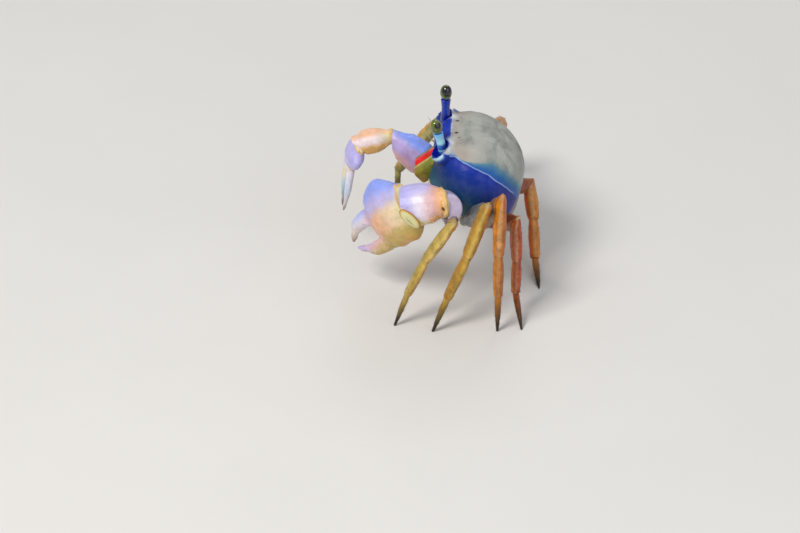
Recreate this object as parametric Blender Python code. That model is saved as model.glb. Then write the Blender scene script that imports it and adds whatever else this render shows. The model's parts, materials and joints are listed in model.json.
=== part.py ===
"""A blue land crab, life size, standing alert with its front raised.

Units are metres and +Z is up. The crab faces -Y and its left side is +X.
The middle of its body is the pose's own origin, and the last step sets the
whole model on its floor centre. Angles of limbs: a turn is 0 straight ahead,
90 out to the limb's own side and 180 to the rear; lift and drop are measured
from the level.
"""

import math

import bmesh
import bpy
from mathutils import Matrix, Vector

# Driving sizes of the body
CARAPACE_WIDTH = 0.060
CARAPACE_LENGTH = 0.865 * CARAPACE_WIDTH
CARAPACE_DEPTH = 0.66 * CARAPACE_WIDTH
REAR_SHARE = 0.90
BODY_HEIGHT = 0.0630
BODY_PITCH = math.radians(36.0)
SHELL_FLOOR = -0.42 * CARAPACE_DEPTH
BELLY_SHARE = 1.14
BELLY_POWER = 2.6
JOINT_GAP = 0.0003
HALF_GAP = JOINT_GAP / 2
CLEARANCE = JOINT_GAP + 0.00005

# Orbits, eyes and feelers, in the body's own frame
ORBIT_MIDDLE = (0.0145, -0.0245, 0.0032)
ORBIT_HALF = Vector((0.0066, 0.0060, 0.0050))
TOOTH_TIP = (0.0215, -0.0212, 0.0070)
TOOTH_ROOT = (0.0190, -0.0165, 0.0060)
STALK_ROOT = (0.0125, -0.0225, 0.0030)
EYESTALK_LENGTH = {"left": 0.0100, "right": 0.0130}
EYESTALK_RADIUS = 0.0023
STALK_LEANS = {"left": (0.5, -3.6, 14.2), "right": (-0.5, 0.2, 15.2)}
STALK_ROOM = 0.0030
EYE_HALF_WIDTH = 0.0030
EYE_HALF_LENGTH = 0.0040
ANTENNA_LENGTH = 0.0090
ANTENNA_RADIUS = 0.0005

# Segment counts of the faceted forms
BODY_SEGMENTS = 44
BODY_RINGS = 28
CLAW_SIDES = 18
LEG_SIDES = 10
LEG_ROWS = 10

UP = Vector((0.0, 0.0, 1.0))
SIDES = {"left": 1.0, "right": -1.0}

# Lengths of merus, carpus, propodus and dactyl, first leg to last
LEG_LENGTHS = {
    1: (0.0308, 0.0230, 0.0215, 0.0190),
    2: (0.0396, 0.0260, 0.0250, 0.0200),
    3: (0.0423, 0.0260, 0.0240, 0.0200),
    4: (0.0284, 0.0200, 0.0195, 0.0180),
}
# Where each leg leaves the body: out, back and down from the body's middle
LEG_ROOTS = {
    1: (0.0150, -0.0030, -0.0185),
    2: (0.0170, 0.0080, -0.0200),
    3: (0.0170, 0.0150, -0.0195),
    4: (0.0140, 0.0185, -0.0165),
}
# Degrees: merus turn and lift, shin turn, carpus and propodus drop
LEG_POSES = {
    ("left", 1): (95.2, 13.5, 6.4, 57.6, 65.8),
    ("left", 2): (109.1, 38.0, 13.0, 72.0, 67.3),
    ("left", 3): (113.8, 46.5, 84.6, 75.1, 92.5),
    ("left", 4): (124.6, 29.3, 106.5, 80.5, 92.4),
    ("right", 1): (72.5, 14.6, 38.8, 54.6, 56.9),
    ("right", 2): (86.0, 12.0, 78.0, 30.0, 78.0),
    ("right", 3): (99.0, 15.0, 96.0, 32.0, 78.0),
    ("right", 4): (135.0, -17.0, 262.0, 25.0, 58.0),
}
# Half thickness across and half height along the leg's plane, as shares
# of the carapace width, for each segment
LEG_SECTIONS = {
    "merus": (0.050, 0.074),
    "carpus": (0.048, 0.066),
    "propodus": (0.040, 0.055),
    "dactyl": (0.028, 0.034),
}
LEG_SIZE = {1: 1.02, 2: 1.14, 3: 1.10, 4: 1.00}

# Claw joints, as out, back and up from the body's middle
CLAW_JOINTS = {
    "left": {
        "shoulder": (0.0125, -0.0205, -0.0090),
        "elbow": (0.0350, -0.0151, 0.0007),
        "wrist": (0.0340, -0.0318, -0.0030),
        "knuckle": (0.0215, -0.0453, -0.0238),
        "tip": (0.0120, -0.0590, -0.0400),
    },
    "right": {
        "shoulder": (0.0125, -0.0210, -0.0120),
        "elbow": (0.0220, -0.0430, 0.0006),
        "wrist": (0.0190, -0.0590, -0.0026),
        "knuckle": (0.0206, -0.0634, -0.0138),
        "tip": (0.0185, -0.0668, -0.0405),
    },
}
# The outer face of both hands looks this way, and the moving finger lies to
# the other side of the hand's length
HAND_FACE = {"left": Vector((0.83, 0.04, 0.55)), "right": Vector((0.25, -0.96, 0.10))}
FINGER_SIDE = {"left": Vector((0.0, -0.5, 1.0)), "right": Vector((1.0, -0.2, 0.2))}
CLAW_SIZE = {"left": 1.0, "right": 0.50}
ARM_SIZE = {"left": 1.0, "right": 0.78}
# The palm's upper margin swells by this share of the hand's size
PALM_BOW = 0.045
# Segments of each claw: places along them, half thickness and half breadth
MERUS_STATIONS = {
    "left": (
        (0.0, 0.100, 0.090),
        (0.35, 0.132, 0.110),
        (0.7, 0.140, 0.116),
        (1.0, 0.131, 0.106),
        (1.24, 0.100, 0.076),
    ),
    "right": ((0.0, 0.085, 0.130), (0.35, 0.128, 0.195), (0.7, 0.132, 0.170), (1.0, 0.080, 0.066)),
}
CARPUS_STATIONS = {
    "left": ((0.0, 0.112, 0.118), (0.4, 0.158, 0.160), (0.85, 0.170, 0.166), (1.0, 0.162, 0.160)),
    "right": ((0.0, 0.070, 0.080), (0.45, 0.122, 0.128), (0.8, 0.126, 0.128), (1.0, 0.092, 0.098)),
}
# The near upper arm lies behind the joint line, because its elbow bends sharply
MERUS_SHIFT = {"left": Vector((-0.0002, 0.0020, -0.0038)), "right": Vector()}
CARPUS_ENDS = {"left": (0.006, 0.0025), "right": (0.004, 0.003)}
PALM_STATIONS = (
    (-0.4, 0.090, 0.120),
    (0.0, 0.112, 0.205),
    (0.35, 0.142, 0.302),
    (0.7, 0.135, 0.280),
    (1.0, 0.088, 0.210),
)
# Half the gap between the finger tips, as a share of the hand's size
FINGER_GAPE = {"left": 0.045, "right": 0.085}

SHELL_GREY = (0.40, 0.38, 0.33)
SHELL_BLUE = (0.01, 0.05, 0.45)
CLAW_LILAC = (0.48, 0.44, 0.72)
LEG_ORANGE = (0.62, 0.22, 0.04)
BELLY_CREAM = (0.66, 0.58, 0.34)
EYE_GREEN = (0.10, 0.13, 0.04)


def clear_scene():
    """Removes whatever the file holds, so that the script can run again."""
    for item in list(bpy.data.objects):
        bpy.data.objects.remove(item)


def make_material(name, colour, roughness):
    """A plain shell finish."""
    material = bpy.data.materials.new(name)
    material.use_nodes = True
    shader = material.node_tree.nodes["Principled BSDF"]
    shader.inputs["Base Color"].default_value = (*colour, 1.0)
    shader.inputs["Roughness"].default_value = roughness
    shader.inputs["Metallic"].default_value = 0.0
    return material


def new_object(name, mesh_builder, collection, material):
    """Turns a bmesh into a named object in its collection."""
    mesh = bpy.data.meshes.new(name)
    bmesh.ops.recalc_face_normals(mesh_builder, faces=mesh_builder.faces)
    mesh_builder.to_mesh(mesh)
    mesh_builder.free()
    mesh.materials.append(material)
    mesh.shade_smooth()
    mesh.set_sharp_from_angle(angle=math.radians(40.0))
    item = bpy.data.objects.new(name, mesh)
    collection.objects.link(item)
    return item


def smooth_between(value, low, high):
    """0 below low, 1 above high and an even S between them."""
    share = min(1.0, max(0.0, (value - low) / (high - low)))
    return share * share * (3.0 - 2.0 * share)


def signed_power(value, power):
    """A power that keeps the sign."""
    return math.copysign(abs(value) ** power, value)


def body_matrix():
    """The body's own frame in the model: front raised, at its height."""
    return Matrix.Translation((0.0, 0.0, BODY_HEIGHT)) @ Matrix.Rotation(-BODY_PITCH, 4, "X")


def body_point(out, back, up):
    """A point of the body's own frame, in the model."""
    return body_matrix() @ Vector((out, back, up))


def side_line(run):
    """Height of the line where back turns into flank, front -1 to rear 1."""
    return 0.44 - 0.45 * smooth_between(run, -0.1, 0.95) - 0.10 * smooth_between(-run, 0.3, 0.9)


def shape_body(direction):
    """Moves a point of the unit sphere onto the crab's egg-shaped body."""
    out = signed_power(direction.x, 0.90) * CARAPACE_WIDTH / 2
    back = signed_power(direction.y, 0.90) * CARAPACE_LENGTH / 2
    up = signed_power(direction.z, 0.97) * CARAPACE_DEPTH / 2
    if up < 0.0:
        # below its middle the body is deeper and its section squarer
        level = math.hypot(direction.x, direction.y)
        square = (level**BELLY_POWER + abs(direction.z) ** BELLY_POWER) ** (-1.0 / BELLY_POWER)
        out *= square
        back *= square
        up *= square * BELLY_SHARE
    run = back / (CARAPACE_LENGTH / 2)
    height = up / (CARAPACE_DEPTH / 2)
    # narrower at the rear and at the face than at the gill chambers
    out *= 1.0 - 0.17 * smooth_between(run, 0.0, 1.0) - 0.08 * smooth_between(-run, 0.35, 1.0)
    # the flanks draw in towards the belly
    out *= 1.0 - 0.08 * smooth_between(-height, 0.1, 1.1)
    if back > 0.0:
        back *= REAR_SHARE
    # towards the rear the lower flanks stay full and stand out over the legs
    low = smooth_between(-height, -0.35, 0.40) * smooth_between(run, -0.55, 0.45)
    corner = 2.0 * abs(direction.x * direction.y) / max(1e-6, direction.x**2 + direction.y**2)
    out *= 1.0 + 0.10 * corner * low
    back *= 1.0 + (0.14 + 0.12 * corner) * low
    # under the eyes the face draws back
    face = smooth_between(-height, -0.10, 0.55) * smooth_between(-run, 0.40, 0.95)
    back *= 1.0 - 0.20 * face
    # the top slopes down to a low front margin, which stands out a little
    back += 0.05 * CARAPACE_LENGTH * smooth_between(-run, 0.3, 0.9) * smooth_between(height, 0.35, 0.8)
    brow = math.exp(-(((height - 0.31) / 0.14) ** 2)) * smooth_between(-run, 0.6, 0.95)
    back -= 0.018 * CARAPACE_LENGTH * brow
    ridge = math.exp(-(((height - side_line(run)) / 0.09) ** 2)) * smooth_between(0.8 - run, 0.0, 0.5)
    out *= 1.0 + 0.016 * ridge
    return Vector((out, back, up))


def body_form():
    """The whole body as one closed form in its own frame."""
    form = bmesh.new()
    bmesh.ops.create_uvsphere(
        form, u_segments=BODY_SEGMENTS, v_segments=BODY_RINGS, radius=1.0
    )
    bmesh.ops.rotate(form, verts=form.verts, cent=(0, 0, 0), matrix=Matrix.Rotation(math.pi / 2, 3, "Y"))
    for vertex in form.verts:
        vertex.co = shape_body(vertex.co.normalized())
    return form


def keep_side(form, point, normal):
    """Cuts a closed form by a plane and keeps what lies ahead of it."""
    geometry = form.verts[:] + form.edges[:] + form.faces[:]
    cut = bmesh.ops.bisect_plane(
        form, geom=geometry, dist=1e-7, plane_co=point, plane_no=normal, clear_inner=True
    )
    rim = [item for item in cut["geom_cut"] if isinstance(item, bmesh.types.BMEdge)]
    if rim:
        bmesh.ops.holes_fill(form, edges=rim, sides=0)
    bmesh.ops.triangulate(form, faces=[face for face in form.faces if len(face.verts) > 4])


def ellipsoid(centre, half, segments=20, rings=12, turn=None):
    """A closed ellipsoid, turned about its middle if asked."""
    form = bmesh.new()
    bmesh.ops.create_uvsphere(form, u_segments=segments, v_segments=rings, radius=1.0)
    bmesh.ops.scale(form, verts=form.verts, vec=half)
    if turn is not None:
        bmesh.ops.rotate(form, verts=form.verts, cent=(0, 0, 0), matrix=turn)
    bmesh.ops.translate(form, verts=form.verts, vec=centre)
    return form


def read_profile(stations, share):
    """Half width and half height of a limb at a share of its length."""
    share = min(1.0, max(0.0, share))
    for (start, width0, height0), (end, width1, height1) in zip(stations, stations[1:]):
        if share <= end:
            blend = smooth_between(share, start, end)
            return width0 + (width1 - width0) * blend, height0 + (height1 - height0) * blend
    return stations[-1][1:]


def limb_form(start, end, across, stations, size, sides, rows, reach=(0.0, 0.0), bow=0.0, keel=0.0):
    """A closed limb segment along a line, with an oval section at each row.

    across is the direction of the section's thin way; reach extends both ends
    past the joints, bow bends the middle towards the back of the segment, and
    keel raises low ridges along it.
    """
    axis = end - start
    length = axis.length
    axis.normalize()
    across = (across - axis * across.dot(axis)).normalized()
    crest = axis.cross(across).normalized()
    form = bmesh.new()
    bmesh.ops.create_uvsphere(form, u_segments=sides, v_segments=rows, radius=1.0)
    for vertex in form.verts:
        ring = (1.0 - math.acos(max(-1.0, min(1.0, vertex.co.z))) / math.pi) * rows
        share = min(1.0, max(0.0, (ring - 1.0) / (rows - 2.0)))
        run = -reach[0] + share * (length + reach[0] + reach[1])
        width, height = read_profile(stations, run / length)
        radial = Vector((vertex.co.x, vertex.co.y))
        on_axis = radial.length < 1e-6
        angle = 0.0 if on_axis else math.atan2(radial.y, radial.x)
        swell = 0.0 if on_axis else 1.0 + keel * math.cos(4.0 * angle)
        sag = bow * math.sin(math.pi * min(1.0, max(0.0, run / length)))
        place = start + axis * run + crest * sag
        place += across * math.cos(angle) * width * size * swell
        place += crest * math.sin(angle) * height * size * swell
        vertex.co = place
    return form


def to_cutter(name, form, collection, transform=None):
    """A hidden guide object for a Boolean."""
    if transform is not None:
        form.transform(transform)
    bmesh.ops.recalc_face_normals(form, faces=form.faces)
    mesh = bpy.data.meshes.new(name)
    form.to_mesh(mesh)
    form.free()
    item = bpy.data.objects.new(name, mesh)
    item.hide_render = True
    item.display_type = "WIRE"
    collection.objects.link(item)
    return item


def apply_boolean(item, guides, operation):
    """Cuts or joins the guides in one step, applies it and removes them."""
    modifier = item.modifiers.new(operation.lower(), "BOOLEAN")
    modifier.operation = operation
    modifier.solver = "EXACT"
    modifier.operand_type = "COLLECTION"
    modifier.collection = guides
    depsgraph = bpy.context.evaluated_depsgraph_get()
    mesh = bpy.data.meshes.new_from_object(item.evaluated_get(depsgraph))
    item.modifiers.clear()
    item.data = mesh
    for guide in list(guides.objects):
        bpy.data.objects.remove(guide)
    keep_largest_surface(item)


def keep_largest_surface(item):
    """Keeps the largest closed surface of a node."""
    form = bmesh.new()
    form.from_mesh(item.data)
    bmesh.ops.remove_doubles(form, verts=form.verts, dist=1e-6)
    left = set(form.faces)
    groups = []
    while left:
        stack = [left.pop()]
        group = list(stack)
        while stack:
            face = stack.pop()
            for edge in face.edges:
                for other in edge.link_faces:
                    if other in left:
                        left.remove(other)
                        stack.append(other)
                        group.append(other)
        groups.append(group)
    groups.sort(key=lambda faces: sum(face.calc_area() for face in faces), reverse=True)
    for group in groups[1:]:
        bmesh.ops.delete(form, geom=group, context="FACES")
    form.to_mesh(item.data)
    form.free()


def mirrored(place, sign):
    """A body point on the left, sign 1, or the right, sign -1."""
    return Vector((sign * place[0], place[1], place[2]))


def stalk_line(side):
    """Root and top of an eyestalk, in the model."""
    base = body_matrix() @ mirrored(STALK_ROOT, SIDES[side])
    return base, base + Vector(STALK_LEANS[side]).normalized() * EYESTALK_LENGTH[side]


def orbit_centre(sign):
    """The middle of an eye's socket, in the body's own frame."""
    return mirrored(ORBIT_MIDDLE, sign)


def rounded_box(centre, half, bevel, turn=None):
    """A closed box with rounded edges, turned about its middle if asked."""
    form = bmesh.new()
    bmesh.ops.create_cube(form, size=2.0)
    bmesh.ops.scale(form, verts=form.verts, vec=half)
    bmesh.ops.bevel(form, geom=form.edges[:], offset=bevel, segments=2, affect="EDGES", profile=0.5)
    if turn is not None:
        bmesh.ops.rotate(form, verts=form.verts, cent=(0, 0, 0), matrix=turn)
    bmesh.ops.translate(form, verts=form.verts, vec=centre)
    return form


def spine(root, tip, radius, sides=6):
    """A closed tapered spine or tooth from root to tip."""
    form = bmesh.new()
    length = (tip - root).length
    bmesh.ops.create_cone(
        form, cap_ends=True, segments=sides, radius1=radius, radius2=radius * 0.12, depth=length
    )
    turn = (tip - root).to_track_quat("Z", "Y").to_matrix()
    bmesh.ops.translate(form, verts=form.verts, vec=(0, 0, length / 2))
    bmesh.ops.rotate(form, verts=form.verts, cent=(0, 0, 0), matrix=turn)
    bmesh.ops.translate(form, verts=form.verts, vec=root)
    return form


def mouth_plate(sign, swell):
    """One of the two plates that close the mouth, in the body's frame."""
    lean = Matrix.Rotation(math.radians(-14.0), 3, "X") @ Matrix.Rotation(sign * 0.10, 3, "Z")
    half = Vector((0.0036 + swell, 0.0040 + swell, 0.0095 + swell))
    return rounded_box(Vector((sign * 0.00395, -0.0180, -0.0118)), half, 0.0014, lean)


def abdomen_form(swell):
    """The narrow tail flap folded under the belly, in the body's frame."""
    half = Vector((0.0070 + swell, 0.0150 + swell, 0.0024 + swell))
    tilt = Matrix.Rotation(math.radians(9.0), 3, "X")
    return ellipsoid(Vector((0.0, 0.0085, -0.0212)), half, 20, 12, tilt)


def make_carapace(parts, guides, material):
    """The back, flanks and front margin, with both eye sockets cut in."""
    form = body_form()
    keep_side(form, (0, 0, SHELL_FLOOR + HALF_GAP), UP)
    form.transform(body_matrix())
    shell = new_object("carapace", form, parts, material)
    for side, sign in SIDES.items():
        brow = ellipsoid(orbit_centre(sign) + Vector((0, 0.0022, -0.0004)), ORBIT_HALF * 1.12, 24, 16)
        to_cutter(f"brow_{side}", brow, guides, body_matrix())
        tooth = spine(mirrored(TOOTH_ROOT, sign), mirrored(TOOTH_TIP, sign), 0.0019)
        to_cutter(f"tooth_{side}", tooth, guides, body_matrix())
    apply_boolean(shell, guides, "UNION")
    for side, sign in SIDES.items():
        socket = ellipsoid(orbit_centre(sign), ORBIT_HALF)
        to_cutter(f"socket_{side}", socket, guides, body_matrix())
        base, top = stalk_line(side)
        room = limb_form(
            base, top, Vector((1, 0, 0)), ((0.0, 1.0, 1.0), (1.0, 1.0, 1.0)), STALK_ROOM, 16, 6
        )
        to_cutter(f"room_{side}", room, guides)
        to_cutter(f"plate_{side}", mouth_plate(sign, JOINT_GAP), guides, body_matrix())
    apply_boolean(shell, guides, "DIFFERENCE")
    return shell


def leg_root(side, number):
    """Where a leg leaves the body, in the model."""
    out, back, up = LEG_ROOTS[number]
    return body_point(SIDES[side] * out, back, up)


def claw_joint(side, joint):
    """A claw's joint in the model."""
    out, back, up = CLAW_JOINTS[side][joint]
    return Vector((SIDES[side] * out, back, up + BODY_HEIGHT))


def heading(side, turn, lift):
    """The unit direction of a limb segment."""
    turn, lift = math.radians(turn), math.radians(lift)
    return Vector(
        (
            SIDES[side] * math.sin(turn) * math.cos(lift),
            -math.cos(turn) * math.cos(lift),
            math.sin(lift),
        )
    )


def leg_joints(side, number):
    """Root, knee, carpus end, propodus end and foot of a leg.

    The last segment leans as its length and the height left over ask, so that
    its tip stands on the floor.
    """
    merus_turn, merus_lift, shin_turn, carpus_drop, propodus_drop = LEG_POSES[side, number]
    merus, carpus, propodus, dactyl = LEG_LENGTHS[number]
    root = leg_root(side, number)
    knee = root + heading(side, merus_turn, merus_lift) * merus
    shin = knee + heading(side, shin_turn, -carpus_drop) * carpus
    ankle = shin + heading(side, shin_turn, -propodus_drop) * propodus
    lean = math.degrees(math.asin(max(0.2, min(0.999, ankle.z / dactyl))))
    foot = ankle + heading(side, shin_turn, -lean) * dactyl
    foot.z = 0.0
    return root, knee, shin, ankle, foot


def inward(point):
    """The direction from a root on the body to the body's core."""
    core = body_point(0.0, 0.001, -0.004)
    return (core - point).normalized()


def mitre(before, after):
    """The normal of the plane in which two segments meet."""
    return (before + after).normalized()


def cut_ends(form, start, start_normal, end, end_normal):
    """Trims a limb segment at its two joint planes, half a gap short."""
    if start is not None:
        keep_side(form, start + start_normal * HALF_GAP, start_normal)
    if end is not None:
        keep_side(form, end - end_normal * HALF_GAP, -end_normal)


def below_shell(form):
    """Keeps what lies under the carapace's lower edge."""
    turn = body_matrix().to_3x3()
    keep_side(form, body_point(0, 0, SHELL_FLOOR - 2 * JOINT_GAP), turn @ -UP)


def body_clearance():
    """The whole body, one joint gap larger all round, in the model."""
    form = body_form()
    form.normal_update()
    bmesh.ops.recalc_face_normals(form, faces=form.faces)
    form.normal_update()
    for vertex in form.verts:
        vertex.co += vertex.normal * JOINT_GAP
    form.transform(body_matrix())
    return form


def make_thorax(parts, guides, material):
    """The belly with the short stubs on which legs and claws are set."""
    form = body_form()
    for vertex in form.verts:
        vertex.co.x *= 0.97
    keep_side(form, (0, 0, SHELL_FLOOR - HALF_GAP), -UP)
    form.transform(body_matrix())
    thorax = new_object("thorax", form, parts, material)
    for side in SIDES:
        for number in LEG_ROOTS:
            root = leg_root(side, number)
            direction = (leg_joints(side, number)[1] - root).normalized()
            size = LEG_SIZE[number] * CARAPACE_WIDTH
            stub = limb_form(
                root + inward(root) * 0.009, root, UP.cross(direction),
                ((0.0, 0.050, 0.062), (1.0, 0.044, 0.058)), size, LEG_SIDES, 5, (0.0, 0.003),
            )
            cut_ends(stub, None, None, root, mitre(-inward(root), direction))
            below_shell(stub)
            to_cutter(f"stub_{side}_{number}", stub, guides)
        shoulder = claw_joint(side, "shoulder")
        direction = (claw_joint(side, "elbow") - shoulder).normalized()
        stub = limb_form(
            shoulder + inward(shoulder) * 0.009, shoulder, UP.cross(direction),
            ((0.0, 0.075, 0.075), (1.0, 0.065, 0.070)), CARAPACE_WIDTH, 12, 5, (0.0, 0.004),
        )
        cut_ends(stub, None, None, shoulder, mitre(-inward(shoulder), direction))
        below_shell(stub)
        to_cutter(f"stub_claw_{side}", stub, guides)
    apply_boolean(thorax, guides, "UNION")
    to_cutter("abdomen_bed", abdomen_form(JOINT_GAP), guides, body_matrix())
    for side, sign in SIDES.items():
        to_cutter(f"plate_{side}", mouth_plate(sign, JOINT_GAP), guides, body_matrix())
        to_cutter(f"claw_{side}", claw_merus_form(side, CLEARANCE), guides)
    apply_boolean(thorax, guides, "DIFFERENCE")
    return thorax


def make_under_plates(parts, material):
    """The folded tail flap and the two mouth plates."""
    flap = abdomen_form(0.0)
    flap.transform(body_matrix())
    new_object("abdomen", flap, parts, material)
    for side, sign in SIDES.items():
        plate = mouth_plate(sign, 0.0)
        plate.transform(body_matrix())
        new_object(f"maxilliped_{side}", plate, parts, material)


def make_leg(side, number, parts, guides, material):
    """The four visible segments of one walking leg."""
    joints = leg_joints(side, number)
    names = ("merus", "carpus", "propodus", "dactyl")
    profiles = {
        "merus": ((0.0, 0.72, 0.60), (0.35, 1.0, 1.0), (0.8, 0.95, 0.95), (1.0, 0.85, 0.72)),
        "carpus": ((0.0, 0.80, 0.80), (0.45, 1.0, 1.0), (0.85, 0.92, 0.90), (1.0, 0.78, 0.74)),
        "propodus": ((0.0, 0.82, 0.82), (0.4, 1.0, 1.0), (1.0, 0.86, 0.84)),
        "dactyl": ((0.0, 0.95, 1.05), (0.35, 0.90, 0.92), (0.8, 0.60, 0.60), (1.0, 0.30, 0.30)),
    }
    directions = [(b - a).normalized() for a, b in zip(joints, joints[1:])]
    stub_direction = -inward(joints[0])
    across = directions[0].cross(directions[1]).normalized()
    size = LEG_SIZE[number] * CARAPACE_WIDTH
    for index, name in enumerate(names):
        width, height = LEG_SECTIONS[name]
        stations = tuple((s, w * width, h * height) for s, w, h in profiles[name])
        before = stub_direction if index == 0 else directions[index - 1]
        start_normal = mitre(before, directions[index])
        last = index == len(names) - 1
        end_normal = UP * -1.0 if last else mitre(directions[index], directions[index + 1])
        reach = (0.0065, 0.0015 if last else 0.0065)
        form = limb_form(
            joints[index], joints[index + 1], across, stations, size,
            LEG_SIDES, LEG_ROWS, reach, keel=0.03,
        )
        end_point = joints[index + 1] + (end_normal * HALF_GAP if last else Vector())
        cut_ends(form, joints[index], start_normal, end_point, end_normal)
        segment = new_object(f"leg_{side}_{number}_{name}", form, parts, material)
        if index == 0:
            to_cutter("body", body_clearance(), guides)
            apply_boolean(segment, guides, "DIFFERENCE")
        if number == 1 and index < 2:
            to_cutter("claw", claw_merus_form(side, CLEARANCE), guides)
            apply_boolean(segment, guides, "DIFFERENCE")


def claw_frame(side):
    """Joints, directions, joint plane normals and size of a claw's arm."""
    joints = [claw_joint(side, name) for name in ("shoulder", "elbow", "wrist", "knuckle", "tip")]
    directions = [(b - a).normalized() for a, b in zip(joints, joints[1:])]
    normals = (
        mitre(-inward(joints[0]), directions[0]),
        mitre(directions[0] * 0.35, directions[1]),
        mitre(directions[1] * 0.55, directions[2]),
    )
    size = ARM_SIZE[side] * CARAPACE_WIDTH
    return joints, directions, normals, size


def claw_merus_form(side, clear=0.0):
    """The upper arm of a claw, made larger all round by clear."""
    joints, directions, normals, size = claw_frame(side)
    flat = directions[1].cross(directions[2]).normalized()
    swell = clear / size
    stations = tuple((share, width + swell, height + swell) for share, width, height in MERUS_STATIONS[side])
    first, last = (joint + MERUS_SHIFT[side] for joint in joints[:2])
    reach = (0.005 + clear, 0.006 + clear)
    form = limb_form(first, last, flat, stations, size, CLAW_SIDES, 10, reach)
    start, end = joints[0] - normals[0] * clear, joints[1] + normals[1] * clear
    cut_ends(form, start, normals[0], end, normals[1])
    return form


def make_claw(side, parts, guides, material):
    """Merus, carpus, palm with its fixed finger, and the moving finger."""
    joints, directions, normals, arm_size = claw_frame(side)
    merus = new_object(f"claw_{side}_merus", claw_merus_form(side), parts, material)
    to_cutter("body", body_clearance(), guides)
    apply_boolean(merus, guides, "DIFFERENCE")
    flat = directions[1].cross(directions[2]).normalized()
    carpus = limb_form(
        joints[1], joints[2], flat,
        CARPUS_STATIONS[side], arm_size, CLAW_SIDES, 10, CARPUS_ENDS[side],
    )
    cut_ends(carpus, joints[1], normals[1], joints[2], normals[2])
    new_object(f"claw_{side}_carpus", carpus, parts, material)
    size = CLAW_SIZE[side] * CARAPACE_WIDTH
    make_hand(side, joints, directions, size, normals[2], parts, guides, material)


def finger_form(root, tip, thin, broad, bow, size, width):
    """A curved tapering finger."""
    stations = (
        (0.0, 0.80 * width, width), (0.45, 0.66 * width, 0.72 * width),
        (0.85, 0.36 * width, 0.34 * width), (1.0, 0.14 * width, 0.12 * width),
    )
    form = limb_form(root, tip, thin, stations, size, 14, 12, (0.004, 0.0), bow)
    return form


def tooth_row(root, tip, edge, count, height):
    """Blunt teeth along a finger's cutting edge."""
    teeth = []
    for index in range(count):
        share = 0.14 + 0.66 * index / (count - 1)
        place = root.lerp(tip, share) + edge * height * (1.9 - 1.7 * share)
        grow = height * (1.15 if index % 3 == 1 else 0.80)
        teeth.append(spine(place, place + edge * grow, grow * 0.62))
    return teeth


def make_hand(side, joints, directions, size, wrist_normal, parts, guides, material):
    """The palm with its fixed finger, and the moving finger."""
    wrist, knuckle, tip = joints[2:]
    axis = directions[2]
    thin = (HAND_FACE[side] - axis * HAND_FACE[side].dot(axis)).normalized()
    broad = axis.cross(thin).normalized()
    if broad.dot(FINGER_SIDE[side]) < 0.0:
        broad = -broad
    sign = 1.0 if axis.cross(thin).dot(broad) > 0.0 else -1.0
    palm = limb_form(
        wrist, knuckle, thin,
        PALM_STATIONS,
        size, CLAW_SIDES + 4, 12, (0.010, 0.0015), sign * PALM_BOW * size,
    )
    cut_ends(palm, wrist, wrist_normal, knuckle, axis)
    palm = new_object(f"claw_{side}_palm", palm, parts, material)
    spread = broad * 0.105 * size
    lower_tip = tip - broad * FINGER_GAPE[side] * size
    upper_tip = tip + broad * 0.4 * FINGER_GAPE[side] * size
    outward = 0.055 * size
    fork = knuckle - spread - axis * 0.002
    lower = finger_form(fork, lower_tip, thin, broad, -sign * outward, size, 0.092)
    to_cutter("lower", lower, guides)
    for index, tooth in enumerate(tooth_row(knuckle - spread, lower_tip, broad, 6, 0.030 * size)):
        to_cutter(f"tooth_{index}", tooth, guides)
    apply_boolean(palm, guides, "UNION")
    upper = finger_form(knuckle + spread, upper_tip, thin, broad, sign * outward, size, 0.092)
    upper = new_object(f"claw_{side}_finger", upper, parts, material)
    for index, tooth in enumerate(tooth_row(knuckle + spread, upper_tip, -broad, 6, 0.030 * size)):
        to_cutter(f"tooth_{index}", tooth, guides)
    apply_boolean(upper, guides, "UNION")
    trimmed = bmesh.new()
    trimmed.from_mesh(upper.data)
    keep_side(trimmed, knuckle + axis * HALF_GAP, axis)
    trimmed.to_mesh(upper.data)
    trimmed.free()
    keep_largest_surface(upper)


def make_eye(side, parts, stalk_material, eye_material):
    """A raised eyestalk out of its socket with the eye at its end."""
    base, top = stalk_line(side)
    direction = (top - base).normalized()
    stalk = limb_form(
        base, top, Vector((1, 0, 0)),
        ((0.0, 1.10, 1.10), (0.6, 0.88, 0.88), (1.0, 1.10, 1.10)), EYESTALK_RADIUS, 12, 8, (0.0015, 0.0),
    )
    keep_side(stalk, top - direction * HALF_GAP, -direction)
    new_object(f"eyestalk_{side}", stalk, parts, stalk_material)
    tilt = direction.to_track_quat("Z", "Y").to_matrix()
    half = Vector((EYE_HALF_WIDTH, EYE_HALF_WIDTH, EYE_HALF_LENGTH))
    eye = ellipsoid(top + direction * EYE_HALF_LENGTH * 0.86, half, 14, 10, tilt)
    keep_side(eye, top + direction * HALF_GAP, direction)
    new_object(f"eye_{side}", eye, parts, eye_material)


def make_antenna(side, sign, parts, material):
    """The short feeler beside the inner corner of the orbit."""
    base = body_matrix() @ mirrored((0.0062, -0.0262, 0.0005), sign)
    direction = (body_matrix().to_3x3() @ mirrored((0.25, -1.0, 0.35), sign)).normalized()
    feeler = spine(base, base + direction * ANTENNA_LENGTH, ANTENNA_RADIUS, 8)
    new_object(f"antenna_{side}", feeler, parts, material)


def centre_on_floor(parts):
    """Moves the model so that its box stands centred on the origin."""
    corners = [item.matrix_world @ vertex.co for item in parts.objects for vertex in item.data.vertices]
    middle = Vector(
        (
            (min(c.x for c in corners) + max(c.x for c in corners)) / 2,
            (min(c.y for c in corners) + max(c.y for c in corners)) / 2,
            min(c.z for c in corners),
        )
    )
    for item in parts.objects:
        item.data.transform(Matrix.Translation(-middle))
    return middle


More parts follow.
